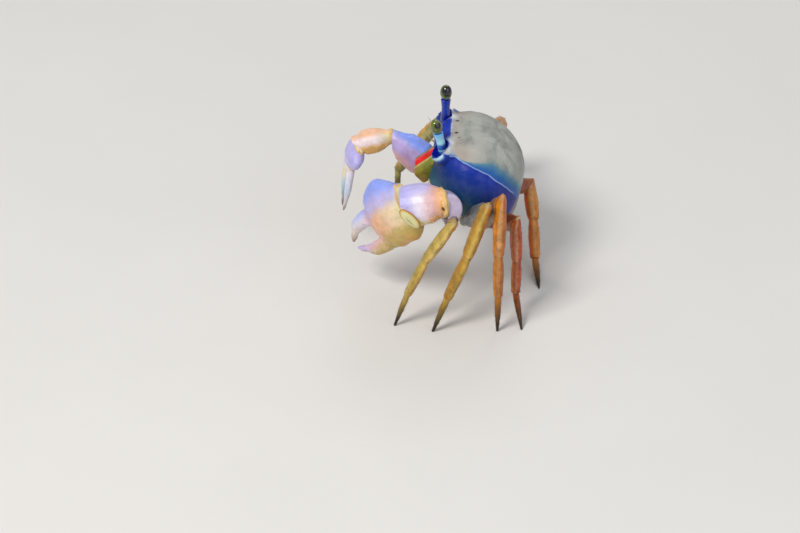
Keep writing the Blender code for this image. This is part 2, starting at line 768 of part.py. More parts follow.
def main():
    clear_scene()
    parts = bpy.data.collections.new("blue_land_crab")
    guides = bpy.data.collections.new("guides")
    for collection in (parts, guides):
        bpy.context.scene.collection.children.link(collection)
    grey = make_material("shell_grey", SHELL_GREY, 0.45)
    blue = make_material("shell_blue", SHELL_BLUE, 0.35)
    lilac = make_material("claw_lilac", CLAW_LILAC, 0.40)
    orange = make_material("leg_orange", LEG_ORANGE, 0.42)
    cream = make_material("belly_cream", BELLY_CREAM, 0.50)
    green = make_material("eye_green", EYE_GREEN, 0.12)
    make_carapace(parts, guides, grey)
    make_thorax(parts, guides, cream)
    make_under_plates(parts, cream)
    for side, sign in SIDES.items():
        for number in LEG_LENGTHS:
            make_leg(side, number, parts, guides, orange)
        make_claw(side, parts, guides, lilac)
        make_eye(side, parts, blue, green)
        make_antenna(side, sign, parts, cream)
    middle = centre_on_floor(parts)
    print("model middle", [round(v, 5) for v in middle])


main()
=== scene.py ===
"""A blue land crab, a still life-size model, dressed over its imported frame."""

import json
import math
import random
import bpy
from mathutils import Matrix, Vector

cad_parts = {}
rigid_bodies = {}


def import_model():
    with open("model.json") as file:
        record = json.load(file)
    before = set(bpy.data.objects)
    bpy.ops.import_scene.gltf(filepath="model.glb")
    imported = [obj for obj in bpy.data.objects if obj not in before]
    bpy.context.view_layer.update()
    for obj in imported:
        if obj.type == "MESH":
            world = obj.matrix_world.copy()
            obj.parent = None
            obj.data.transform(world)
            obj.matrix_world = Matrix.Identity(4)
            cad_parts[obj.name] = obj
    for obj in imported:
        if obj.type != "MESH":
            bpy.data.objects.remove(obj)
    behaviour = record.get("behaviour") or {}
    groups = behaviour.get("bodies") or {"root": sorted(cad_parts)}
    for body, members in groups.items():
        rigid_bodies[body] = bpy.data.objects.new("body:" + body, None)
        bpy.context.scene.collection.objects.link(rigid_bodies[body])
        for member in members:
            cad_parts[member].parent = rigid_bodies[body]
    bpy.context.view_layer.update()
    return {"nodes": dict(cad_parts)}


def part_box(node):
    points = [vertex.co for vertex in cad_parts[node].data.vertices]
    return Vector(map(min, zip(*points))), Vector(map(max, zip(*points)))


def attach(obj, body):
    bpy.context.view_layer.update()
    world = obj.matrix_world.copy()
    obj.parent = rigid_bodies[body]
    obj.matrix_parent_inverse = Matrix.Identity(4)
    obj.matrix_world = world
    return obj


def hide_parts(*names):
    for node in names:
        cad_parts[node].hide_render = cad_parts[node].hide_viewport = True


bl_info = {
    "name": "Blue Land Crab Model",
    "version": (1, 0, 0),
    "blender": (4, 5, 0),
    "location": "3D View > Sidebar > Crab",
    "description": "Shell, claws, legs, eyes, bristles and stage of a life-size land crab model",
    "category": "Object",
}

import bmesh
import bpy
import numpy as np
from mathutils import Matrix, Vector, noise

for old in list(bpy.data.objects):
    bpy.data.objects.remove(old)

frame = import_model()

SIDES = ("left", "right")
LEG_PARTS = ("merus", "carpus", "propodus", "dactyl")
CLAW_PARTS = ("merus", "carpus", "palm", "finger")
# shoulder, elbow, wrist, knuckle and tip of each claw, from the middle of the body
CLAW_JOINTS = {
    "left": (
        (0.0125, -0.0205, -0.009), (0.035, -0.0151, 0.0007), (0.034, -0.0318, -0.003),
        (0.0215, -0.0453, -0.0238), (0.012, -0.059, -0.04),
    ),
    "right": (
        (-0.0125, -0.021, -0.012), (-0.022, -0.043, 0.0006), (-0.019, -0.059, -0.0026),
        (-0.0206, -0.0634, -0.0138), (-0.0185, -0.0668, -0.0405),
    ),
}
# the claws' colours are banded across this direction, upwards and slightly inwards
CLAW_UP = np.array((-0.558, -0.029, 0.829))
BODY_PITCH = math.radians(36.0)
# the middle of the body: its height, and how far it lies from the middle of the carapace's box
BODY_HEIGHT = 0.063
BODY_FROM_SHELL = 0.00053
HALF_WIDTH = 0.03
HALF_LENGTH = 0.02595
HALF_DEPTH = 0.0198
ORBIT_MIDDLE = Vector((0.0145, -0.0245, 0.0032))
ORBIT_HALF = Vector((0.0066, 0.006, 0.005))


def shell_middle():
    """The middle of the body in the model."""
    low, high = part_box("carapace")
    return Vector(((low.x + high.x) / 2, (low.y + high.y) / 2 + BODY_FROM_SHELL, BODY_HEIGHT))


BODY_CENTRE = shell_middle()
BODY_PLACE = Matrix.Translation(BODY_CENTRE) @ Matrix.Rotation(-BODY_PITCH, 4, "X")


def colour_property(name, description, default):
    """A colour that a user may change."""
    return bpy.props.FloatVectorProperty(
        name=name, description=description, default=default, subtype="COLOR", size=3, min=0.0, max=1.0
    )


def length_property(name, description, default):
    """A length in metres that a user may change."""
    return bpy.props.FloatProperty(
        name=name, description=description, default=default, unit="LENGTH", min=0.0, precision=5
    )


class CrabShellSettings(bpy.types.PropertyGroup):
    """Sizes and colours of the carapace and the plates under it."""

    resolution: length_property("Mesh size", "Size of the shell's mesh cells", 0.00038)
    back: colour_property("Back", "Warm grey of the back", (0.33, 0.34, 0.31))
    line: colour_property("Side line", "Pale blue line along the side", (0.28, 0.42, 0.64))
    flank: colour_property("Flank", "Deep blue of the side wall", (0.0, 0.02, 0.32))
    low_flank: colour_property("Low flank", "Teal of the lower side wall", (0.004, 0.085, 0.14))


class CrabClawSettings(bpy.types.PropertyGroup):
    """Sizes and colours of the two claws."""

    resolution: length_property("Mesh size", "Size of the claws' mesh cells", 0.00032)
    lilac: colour_property("Lilac", "Lavender of the outer faces", (0.47, 0.44, 0.8))
    rose: colour_property("Rose", "Pink of the palms", (0.7, 0.46, 0.5))
    orange: colour_property("Orange", "Orange of the margins", (0.83, 0.36, 0.08))
    cream: colour_property("Cream", "Cream of the soft joints", (0.82, 0.74, 0.42))


class CrabLegSettings(bpy.types.PropertyGroup):
    """The size of the walking legs' mesh."""

    resolution: length_property("Mesh size", "Size of the legs' mesh cells", 0.00027)


class CrabEyeSettings(bpy.types.PropertyGroup):
    """Colours of the eyes, and of one stalk as a copy in painted sunlight and a copy in painted shade."""

    cornea: colour_property("Cornea", "Olive green of the eyes", (0.1, 0.13, 0.012))
    sunlit_stalk: colour_property("Pale stalk", "Light blue of the sunlit stalk", (0.1, 0.42, 0.85))
    shaded_stalk: colour_property("Dark stalk", "Deep blue of the shaded stalk", (0.004, 0.02, 0.32))


class CrabStageSettings(bpy.types.PropertyGroup):
    """The camera and the floor."""

    lens: bpy.props.FloatProperty(name="Lens", description="Focal length", default=200.0, unit="CAMERA")
    azimuth: bpy.props.FloatProperty(
        name="Azimuth", description="Camera direction", default=math.radians(93.0), subtype="ANGLE"
    )
    elevation: bpy.props.FloatProperty(
        name="Elevation", description="Camera height angle", default=math.radians(34.0), subtype="ANGLE"
    )
    floor: colour_property("Floor", "Pale floor", (0.72, 0.71, 0.69))


# Nodes of the materials


def ramp_points(ramp, points):
    """Sets a colour ramp's points, each a position and a colour or grey."""
    elements = ramp.color_ramp.elements
    while len(elements) > 1:
        elements.remove(elements[-1])
    for index, (position, colour) in enumerate(points):
        element = elements[0] if index == 0 else elements.new(position)
        element.position = position
        if isinstance(colour, (int, float)):
            colour = (colour, colour, colour)
        element.color = (*colour, 1.0)


# How far light spreads under a surface, in metres
SUBSURFACE_REACH = 0.0015


class ShellShader:
    """Builds the nodes of one crab material."""

    def __init__(self, name, roughness=0.45, coat=0.0, coat_roughness=0.15, subsurface=0.0, shine=0.35):
        self.material = bpy.data.materials.new(name)
        self.material.use_nodes = True
        self.tree = self.material.node_tree
        self.tree.nodes.clear()
        self.surface = self.add("ShaderNodeBsdfPrincipled")
        output = self.add("ShaderNodeOutputMaterial")
        self.link(self.surface.outputs["BSDF"], output.inputs["Surface"])
        for entry, number in (
            ("Roughness", roughness),
            ("Specular IOR Level", shine),
            ("Coat Weight", coat),
            ("Coat Roughness", coat_roughness),
            ("Subsurface Weight", subsurface),
            ("Subsurface Scale", SUBSURFACE_REACH),
        ):
            self.surface.inputs[entry].default_value = number

    def add(self, kind):
        """A new node."""
        return self.tree.nodes.new(kind)

    def link(self, start, end):
        """Joins an output to an input."""
        self.tree.links.new(start, end)

    def feed(self, socket, value):
        """Gives an input a number, a colour or another node's output."""
        if isinstance(value, bpy.types.NodeSocket):
            self.link(value, socket)
        elif isinstance(value, (int, float)) and socket.type == "RGBA":
            socket.default_value = (value, value, value, 1.0)
        elif socket.type == "RGBA":
            socket.default_value = (*value, 1.0)
        else:
            socket.default_value = value

    def attribute(self, name, axis=None):
        """A value that the mesh carries."""
        node = self.add("ShaderNodeAttribute")
        node.attribute_name = name
        if axis is None:
            return node.outputs["Fac"]
        split = self.add("ShaderNodeSeparateXYZ")
        self.link(node.outputs["Vector"], split.inputs[0])
        return split.outputs[axis]

    def place(self):
        """The piece's own place in the model."""
        return self.add("ShaderNodeTexCoord").outputs["Object"]

    def math(self, operation, first, second=0.0):
        """One operation on two values."""
        node = self.add("ShaderNodeMath")
        node.operation = operation
        self.feed(node.inputs[0], first)
        self.feed(node.inputs[1], second)
        return node.outputs[0]

    def times(self, first, second):
        """The product of two values."""
        return self.math("MULTIPLY", first, second)

    def span(self, value, low, high, start=0.0, end=1.0):
        """A smooth mask that runs from start at low to end at high."""
        node = self.add("ShaderNodeMapRange")
        node.interpolation_type = "SMOOTHSTEP"
        self.feed(node.inputs["Value"], value)
        for name, number in zip(("From Min", "From Max", "To Min", "To Max"), (low, high, start, end)):
            node.inputs[name].default_value = number
        return node.outputs["Result"]

    def mix(self, mask, first, second, blend="MIX"):
        """Two colours mixed by a mask."""
        node = self.add("ShaderNodeMix")
        node.data_type = "RGBA"
        node.blend_type = blend
        for entry, value in ((0, mask), (6, first), (7, second)):
            self.feed(node.inputs[entry], value)
        return node.outputs[2]

    def ramp(self, value, points):
        """A colour read along a value."""
        node = self.add("ShaderNodeValToRGB")
        ramp_points(node, points)
        self.feed(node.inputs[0], value)
        return node.outputs["Color"]

    def grain(self, **scales):
        """The shared grain, with its own scales."""
        node = self.add("ShaderNodeGroup")
        node.node_tree = shared_grain()
        self.link(self.place(), node.inputs["Vector"])
        for name, value in scales.items():
            node.inputs[name.capitalize()].default_value = value
        return node.outputs

    def finish(self, colour, height=None, depth=0.0001, roughness=None):
        """Feeds the surface and gives the material back."""
        self.feed(self.surface.inputs["Base Color"], colour)
        if height is not None:
            bump = self.add("ShaderNodeBump")
            bump.inputs["Distance"].default_value = depth
            bump.inputs["Strength"].default_value = 1.0
            self.link(height, bump.inputs["Height"])
            self.link(bump.outputs["Normal"], self.surface.inputs["Normal"])
        if roughness is not None:
            self.link(roughness, self.surface.inputs["Roughness"])
        return self.material


def shell_grain_group():
    """Shared grain of the shell: rounded granules, broad mottling and dark specks."""
    tree = bpy.data.node_groups.new("Shell grain", "ShaderNodeTree")
    tree.interface.new_socket("Vector", in_out="INPUT", socket_type="NodeSocketVector")
    for name, default in (("Granules", 1600.0), ("Mottling", 120.0), ("Specks", 500.0)):
        socket = tree.interface.new_socket(name, in_out="INPUT", socket_type="NodeSocketFloat")
        socket.default_value = default
    for name in ("Granule", "Mottle", "Speck"):
        tree.interface.new_socket(name, in_out="OUTPUT", socket_type="NodeSocketFloat")

    def add(kind, **values):
        """A new node of the group with its own values."""
        node = tree.nodes.new(kind)
        for name, value in values.items():
            node.inputs[name.replace("_", " ").title()].default_value = value
        return node

    start = tree.nodes.new("NodeGroupInput")
    end = tree.nodes.new("NodeGroupOutput")
    granules = tree.nodes.new("ShaderNodeTexVoronoi")
    granules.feature = "SMOOTH_F1"
    granules.inputs["Smoothness"].default_value = 0.6
    raised = add("ShaderNodeMath")
    raised.operation = "SUBTRACT"
    raised.use_clamp = True
    raised.inputs[0].default_value = 1.0
    mottling = add("ShaderNodeTexNoise", detail=5.0, roughness=0.6)
    specks = add("ShaderNodeTexNoise", detail=2.0)
    sharpened = add("ShaderNodeMapRange", from_min=0.66, from_max=0.72)
    for source, output, target, entry in (
        (start, "Vector", granules, "Vector"),
        (start, "Granules", granules, "Scale"),
        (granules, "Distance", raised, 1),
        (raised, 0, end, "Granule"),
        (start, "Vector", mottling, "Vector"),
        (start, "Mottling", mottling, "Scale"),
        (mottling, "Fac", end, "Mottle"),
        (start, "Vector", specks, "Vector"),
        (start, "Specks", specks, "Scale"),
        (specks, "Fac", sharpened, "Value"),
        (sharpened, "Result", end, "Speck"),
    ):
        tree.links.new(source.outputs[output], target.inputs[entry])
    return tree


def shared_grain():
    """The grain group, made once."""
    return bpy.data.node_groups.get("Shell grain") or shell_grain_group()


# Meshes of the pieces


def object_from(form, name):
    """A scene object from a bmesh, not yet riding on anything."""
    mesh = bpy.data.meshes.new(name)
    form.to_mesh(mesh)
    form.free()
    item = bpy.data.objects.new(name, mesh)
    bpy.context.scene.collection.objects.link(item)
    return item


def merged_copy(node):
    """A closed bmesh of a CAD node's loose triangles."""
    form = bmesh.new()
    form.from_mesh(frame["nodes"][node].data)
    bmesh.ops.remove_doubles(form, verts=form.verts, dist=2e-6)
    return form


def piece_from(form, name, material=None):
    """A shaded piece from a bmesh, riding on the model's one body."""
    piece = object_from(form, name)
    piece.data.shade_smooth()
    if material is not None:
        piece.data.materials.append(material)
    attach(piece, "root")
    return piece


def remeshed(form, cell):
    """The same closed form with small even cells."""
    holder = object_from(form, "cells")
    modifier = holder.modifiers.new("Cells", "REMESH")
    modifier.mode = "VOXEL"
    modifier.voxel_size = cell
    holder_now = holder.evaluated_get(bpy.context.evaluated_depsgraph_get())
    fine = bmesh.new()
    fine.from_mesh(holder_now.to_mesh())
    bpy.data.objects.remove(holder)
    return fine


SMOOTH_AXES = {"use_axis_x": True, "use_axis_y": True, "use_axis_z": True}


def smoothed(form, rounds):
    """Rounds a form's facets off."""
    for _ in range(rounds):
        bmesh.ops.smooth_vert(form, verts=form.verts, factor=0.5, **SMOOTH_AXES)
    form.normal_update()
    return form


def carry(piece, name, values):
    """Stores one number or one vector for each vertex of a piece."""
    values = np.asarray(values, dtype=np.float32)
    kind = "FLOAT" if values.ndim == 1 else "FLOAT_VECTOR"
    layer = piece.data.attributes.new(name, kind, "POINT")
    layer.data.foreach_set("value" if kind == "FLOAT" else "vector", values.ravel())


def vertex_array(piece):
    """A piece's vertices as rows of numbers."""
    rows = np.empty(len(piece.data.vertices) * 3, dtype=np.float32)
    piece.data.vertices.foreach_get("co", rows)
    return rows.reshape(-1, 3).astype(float)


def node_points(node):
    """A CAD node's vertices as rows of numbers."""
    return vertex_array(frame["nodes"][node])


def limb_axes(node, before):
    """A limb segment's near end, far end and its upward and sideways directions."""
    points = node_points(node)
    middle = points.mean(axis=0)
    _, _, turns = np.linalg.svd(points - middle, full_matrices=False)
    along = turns[0]
    if np.dot(middle - np.asarray(before), along) < 0:
        along = -along
    run = (points - middle) @ along
    start = middle + along * run.min()
    end = middle + along * run.max()
    upward = np.array((0.0, 0.0, 1.0))
    upward = upward - along * np.dot(upward, along)
    if np.linalg.norm(upward) < 0.25:
        upward = np.array((1.0, 0.0, 0.0)) - along * along[0]
    upward /= np.linalg.norm(upward)
    return start, end, upward, np.cross(along, upward)


def claw_axes(side, part):
    """A claw segment's ends on its joint line and its upward and sideways directions."""
    index = CLAW_PARTS.index(part)
    first, last = (np.asarray(BODY_CENTRE) + CLAW_JOINTS[side][step] for step in (index, index + 1))
    along = (last - first) / np.linalg.norm(last - first)
    run = (node_points("claw_" + side + "_" + part) - first) @ along
    upward = CLAW_UP - along * np.dot(CLAW_UP, along)
    upward /= np.linalg.norm(upward)
    return first + along * run.min(), first + along * run.max(), upward, np.cross(along, upward)


def carry_straight(piece, axes):
    """Stores where each vertex is along, above and beside a straight line."""
    start, end, upward, sideways = axes
    offsets = vertex_array(piece) - start
    length = np.linalg.norm(end - start)
    rise = offsets @ upward
    beside = offsets @ sideways
    widest = np.percentile(np.hypot(rise, beside), 85)
    place = np.stack((offsets @ (end - start) / length**2, rise / widest, beside / widest), axis=1)
    carry(piece, "place", place)


def carry_place(piece, axes):
    """Stores where each vertex is along, above and beside its segment's axis."""
    start, end, upward, sideways = axes
    points = vertex_array(piece)
    along = end - start
    length = np.linalg.norm(along)
    offsets = points - start
    run = offsets @ (along / length) / length
    rise = offsets @ upward
    beside = offsets @ sideways
    middle = np.interp(run, *row_means(run, rise))
    middle_beside = np.interp(run, *row_means(run, beside))
    reach = np.sqrt((rise - middle) ** 2 + (beside - middle_beside) ** 2)
    widest = np.interp(run, *row_means(run, reach))
    widest = np.maximum(widest, 0.0003)
    place = np.stack((run, (rise - middle) / widest, (beside - middle_beside) / widest), axis=1)
    carry(piece, "place", place)


def row_means(run, values, rows=24):
    """Middle values of a quantity in rows along a segment."""
    edges = np.linspace(0.0, 1.0, rows + 1)
    centres, means = [], []
    for low, high in zip(edges[:-1], edges[1:]):
        inside = (run >= low) & (run <= high)
        if inside.any():
            centres.append((low + high) / 2)
            means.append(values[inside].mean())
    return centres, means


def grained(form, size, height, seed):
    """Raises and sinks the surface a little in soft seeded lumps."""
    offset = Vector((seed * 0.37, seed * 0.11, seed * 0.73))
    moves = []
    for vertex in form.verts:
        lump = noise.noise(vertex.co / size + offset)
        moves.append(vertex.normal * lump * height)
    for vertex, move in zip(form.verts, moves):
        vertex.co += move
    return form


# The soft lumps of each kind of surface: their size, height and seed
LUMPS = {
    "carapace": (0.006, 0.00018, 3),
    "belly": (0.004, 0.0001, 5),
    "mouth": (0.003, 0.00008, 7),
    "feeler": (0.003, 0.00003, 9),
    "stalk": (0.003, 0.00004, 11),
    "eye": (0.003, 0.00002, 13),
    "claw": (0.004, 0.00014, 17),
    "leg": (0.0025, 0.0001, 19),
}


def dress_node(node, cell, rounds, lumps, axes=None, sculpt=None, store=None):
    """A fine piece that stands for one CAD node, smoothed, lumped and sculpted along its normals."""
    form = smoothed(remeshed(merged_copy(node), cell), rounds)
    form = smoothed(grained(form, *lumps), 1)
    piece = piece_from(form, node + "_shell")
    if axes is not None:
        (store or carry_place)(piece, axes)
    if sculpt is not None:
        lift_surface(piece, sculpt(piece))
    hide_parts(node)
    return piece


def lift_surface(piece, amounts):
    """Moves each vertex along its normal by its own amount."""
    normals = np.empty(len(piece.data.vertices) * 3, dtype=np.float32)
    piece.data.vertex_normals.foreach_get("vector", normals)
    points = vertex_array(piece) + normals.reshape(-1, 3) * np.asarray(amounts)[:, None]
    piece.data.vertices.foreach_set("co", points.astype(np.float32).ravel())
    piece.data.update()


def carried(piece, name):
    """Reads back a vector that a piece's vertices carry."""
    rows = np.empty(len(piece.data.vertices) * 3, dtype=np.float32)
    piece.data.attributes[name].data.foreach_get("vector", rows)
    return rows.reshape(-1, 3).astype(float)


def bell(values, centre, width):
    """A smooth hump of height 1."""
    return np.exp(-(((values - centre) / width) ** 2))


def end_cap(node, toward):
    """The flat end of a segment nearest a point: middle, outward normal, long way and half sizes."""
    form = merged_copy(node)
    form.normal_update()
    caps = {}
    for face in form.faces:
        key = tuple(round(value, 2) for value in face.normal)
        key += (round(face.normal.dot(face.calc_center_median()), 4),)
        caps.setdefault(key, []).append(face)
    ends = sorted(caps.values(), key=lambda faces: sum(face.calc_area() for face in faces))[-2:]
    end = min(ends, key=lambda faces: (faces[0].calc_center_median() - toward).length)
    corners = np.unique([vertex.co[:] for face in end for vertex in face.verts], axis=0)
    normal = Vector(end[0].normal)
    form.free()
    middle = corners.mean(axis=0)
    _, _, turns = np.linalg.svd(corners - middle, full_matrices=False)
    halves = [np.abs((corners - middle) @ turns[row]).max() for row in range(2)]
    # An axis has no sign of its own, so its largest part is made positive
    long_way = Vector(turns[0])
    if max(long_way, key=abs) < 0.0:
        long_way.negate()
    return Vector(middle), normal, long_way, halves


def soft_oval(name, place, way, normal, halves, material, crease=0.0):
    """A soft oval piece with its long way and its normal, which carries how near its rim each vertex is."""
    form = bmesh.new()
    bmesh.ops.create_uvsphere(form, u_segments=40, v_segments=20, radius=1.0)
    rim = [math.hypot(vertex.co.x, vertex.co.y) for vertex in form.verts]
    if crease:
        for vertex in form.verts:
            fold = crease * math.sin(9.0 * vertex.co.y) * (1.0 - vertex.co.z**2)
            vertex.co += vertex.co.normalized() * (fold + 0.05 * noise.noise(vertex.co * 3.0))
    bmesh.ops.scale(form, verts=form.verts, vec=halves)
    turn = Matrix((way, normal.cross(way), normal)).transposed()
    bmesh.ops.rotate(form, verts=form.verts, cent=(0, 0, 0), matrix=turn)
    bmesh.ops.translate(form, verts=form.verts, vec=place)
    piece = piece_from(form, name, material)
    carry(piece, "place", [(value, 0.0, 0.0) for value in rim])


def joint_skin(name, node, toward, share, depth, material):
    """A soft bulging skin over the open end of a segment."""
    middle, normal, long_way, halves = end_cap(node, toward)
    soft_oval(name, middle, long_way, normal, (halves[0] * share, halves[1] * share, depth), material, 0.06)


def spread_points(piece, weights, count, seed):
    """Seeded places and normals on a piece, picked by each vertex's weight."""
    picker = np.random.default_rng(seed)
    weights = np.clip(weights, 0.0, None)
    chosen = picker.choice(len(weights), size=count, replace=False, p=weights / weights.sum())
    return [(piece.data.vertices[i].co.copy(), Vector(piece.data.vertex_normals[i].vector)) for i in chosen]


def granules(name, places, low, high, seed, material):
    """Small rounded granules standing on the shell."""
    picker = random.Random(seed)
    form = bmesh.new()
    for place, normal in places:
        size = picker.uniform(low, high)
        turn = Matrix.Translation(place - normal * size * 0.15)
        turn = turn @ normal.to_track_quat("Z", "Y").to_matrix().to_4x4()
        turn = turn @ Matrix.Diagonal((size, size, size * 0.8, 1.0))
        bmesh.ops.create_icosphere(form, subdivisions=2, radius=1.0, matrix=turn)
    return piece_from(form, name, material)


BRISTLE_LENGTH = 0.0011
BRISTLE_RADIUS = 0.00006
BRISTLE_LEAN = Vector((0.0, 0.0, -0.6))


def bristles(name, places, seed, material):
    """Short stiff hairs, each a thin cone with its own strip of the map, that stay above the floor."""
    picker = random.Random(seed)
    form = bmesh.new()
    layer = form.loops.layers.uv.new("OFBake")
    columns = math.ceil(math.sqrt(len(places)))
    for index, (place, normal) in enumerate(places):
        turned = normal + BRISTLE_LEAN + Vector([picker.uniform(-0.25, 0.25) for _ in range(3)])
        reach = BRISTLE_LENGTH * picker.uniform(0.6, 1.0)
        turn = Matrix.Translation(place + turned.normalized() * reach * 0.42)
        turn = turn @ turned.to_track_quat("Z", "Y").to_matrix().to_4x4()
        made = bmesh.ops.create_cone(
            form, cap_ends=True, segments=4, radius1=BRISTLE_RADIUS, radius2=BRISTLE_RADIUS * 0.2,
            depth=reach, matrix=turn,
        )
        corner = Vector((index % columns, index // columns)) / columns
        for face in {face for vertex in made["verts"] for face in vertex.link_faces}:
            for step, loop in enumerate(face.loops):
                loop[layer].uv = corner + Vector(((step % 2) * 0.8, (step // 2 % 2) * 0.8)) / columns
    for vertex in form.verts:
        vertex.co.z = max(vertex.co.z, 0.0)
    return piece_from(form, name, material)


def in_body(points):
    """Points of the model in the body's own frame."""
    turn = np.asarray(BODY_PLACE.inverted())
    return points @ turn[:3, :3].T + turn[:3, 3]


def smooth_step(values, low, high):
    """A smooth rise from 0 at low to 1 at high."""
    share = np.clip((values - low) / (high - low), 0.0, 1.0)
    return share * share * (3 - 2 * share)


# The line between back and flank: back from the middle, and its height, in shares of the body
SIDE_LINE = (
    (-1.0, 0.25), (-0.76, 0.35), (-0.6, 0.41), (-0.46, 0.475), (-0.26, 0.54), (-0.03, 0.575),
    (0.27, 0.53), (0.44, 0.46), (0.62, 0.35), (0.85, 0.12), (1.0, -0.02),
)


def side_line(run):
    """Height of the line between back and flank."""
    return np.interp(run, *zip(*SIDE_LINE))


# Small dark pits and pale streaks of the back: out, up and back in the body's own shares
PITS = ((0.18, -0.8, 0.03), (0.3, -0.745, 0.013), (-0.18, -0.8, 0.03), (-0.3, -0.745, 0.013))
STREAKS = (
    ((0.24, -0.08), (0.52, 0.17)), ((0.52, 0.17), (0.51, 0.47)), ((0.27, -0.35), (0.22, -0.04)),
    ((0.26, 0.13), (0.32, 0.5)), ((0.4, 0.12), (0.6, 0.42)), ((0.12, 0.74), (0.44, 0.8)),
)


def streak_field(across, run):
    """Thin pale scratches on both sides of the rear of the back."""
    field = np.zeros(len(across))
    for (x0, y0), (x1, y1) in STREAKS:
        for sign in (1.0, -1.0):
            start = np.array((sign * x0, y0))
            way = np.array((sign * x1, y1)) - start
            offset = np.stack((across, run), axis=1) - start
            share = np.clip(offset @ way / (way @ way), 0.0, 1.0)
            bend = 0.03 * np.sin(share * math.pi)
            gap = np.linalg.norm(offset - share[:, None] * way, axis=1) - bend
            field = np.maximum(field, bell(gap, 0.0, 0.01) * (0.4 + 0.6 * np.sin(share * math.pi)))
    return field


def carry_body(piece):
    """Stores the body's own directions and the marks that the shell carries."""
    points = in_body(vertex_array(piece))
    run = points[:, 1] / HALF_LENGTH
    across = points[:, 0] / HALF_WIDTH
    flank = points[:, 2] / HALF_DEPTH - side_line(run)
    carry(piece, "place", np.stack((across, flank, run), axis=1))
    mirrored = points.copy()
    mirrored[:, 0] = np.abs(mirrored[:, 0])
    way = (mirrored - np.asarray(ORBIT_MIDDLE)) / np.asarray(ORBIT_HALF)
    reach = np.linalg.norm(way, axis=1)
    carry(piece, "socket", reach)
    top = smooth_step(flank, 0.05, 0.25)
    carry(piece, "streak", streak_field(across, run) * top)
    pits = np.zeros(len(run))
    for x, y, size in PITS:
        pits = np.maximum(pits, smooth_step(-np.hypot(across - x, (run - y) * 0.86), -size, -size * 0.6))
    carry(piece, "pits", pits * top)
    way /= np.maximum(reach, 0.01)[:, None]
    facing = way @ np.array((0.8, -0.35, -0.5))
    low_rim = bell(reach, 1.07, 0.06) * smooth_step(facing, 0.4, 0.62)
    arc = bell(reach, 0.8, 0.05) * smooth_step(facing, 0.3, 0.6) * 0.5
    carry(piece, "rim", np.clip(low_rim + arc, 0.0, 1.0))
    height = points[:, 2] / HALF_DEPTH
    edge = smooth_step(-run, 0.83, 0.89) * smooth_step(0.62 - np.abs(across), 0.0, 0.08)
    front = smooth_step(0.52 - height + 0.25 * (run + 0.85), 0.0, 0.06) * edge
    carry(piece, "front", front * smooth_step(height, -0.05, 0.05))
    behind = bell(run, -0.85, 0.06) * smooth_step(np.abs(across), 0.2, 0.34)
    behind = behind * smooth_step(reach, 1.02, 1.1)
    patch = behind * smooth_step(0.74 - np.abs(across), 0.0, 0.1) * smooth_step(flank, -0.03, 0.03)
    seam = bell(front, 0.5, 0.28) * (reach > 1.08)
    carry(piece, "brow", np.maximum(patch, seam * 0.9))


def shell_relief(piece):
    """The back's grooves, pits, streak ridges and the sharp line along each side."""
    across, flank, run = carried(piece, "place").T
    top = smooth_step(flank, 0.05, 0.4)
    wide = np.abs(across)
    neck = bell(run + 0.1 - 2.2 * (wide - 0.32) ** 2, 0.0, 0.045) * smooth_step(0.62 - wide, 0.0, 0.2)
    heart = bell(wide - 0.2 - 0.06 * np.cos(run * 7.0), 0.0, 0.035)
    heart = heart * smooth_step(run, -0.15, 0.05) * smooth_step(0.8 - run, 0.0, 0.25)
    fork = bell(wide - 0.07, 0.0, 0.04) * smooth_step(-run, 0.25, 0.5)
    streaks = streak_field(across, run)
    line = bell(flank, 0.0, 0.03) * smooth_step(0.75 - run, 0.0, 0.15) * smooth_step(wide, 0.45, 0.6)
    lift = -0.00035 * neck - 0.00032 * heart - 0.00018 * fork + 0.00005 * streaks
    pits = np.zeros(len(run))
    for x, y, size in PITS:
        pits = np.maximum(pits, bell(np.hypot(across - x, (run - y) * 0.86), 0.0, size * 0.7))
    return (lift - 0.0006 * pits) * top + 0.00035 * line


# Materials


# How the flank's blue fades into the back, and how it deepens down the side wall
BLUE_TO_BACK = (
    (0.0, (0.008, 0.07, 0.4)), (0.3, (0.015, 0.11, 0.36)),
    (0.62, (0.07, 0.2, 0.31)), (0.98, (0.22, 0.3, 0.3)),
)
WALL_TINTS = ((0.4, (0.0, 0.022, 0.2)), (0.72, (0.0, 0.035, 0.13)))


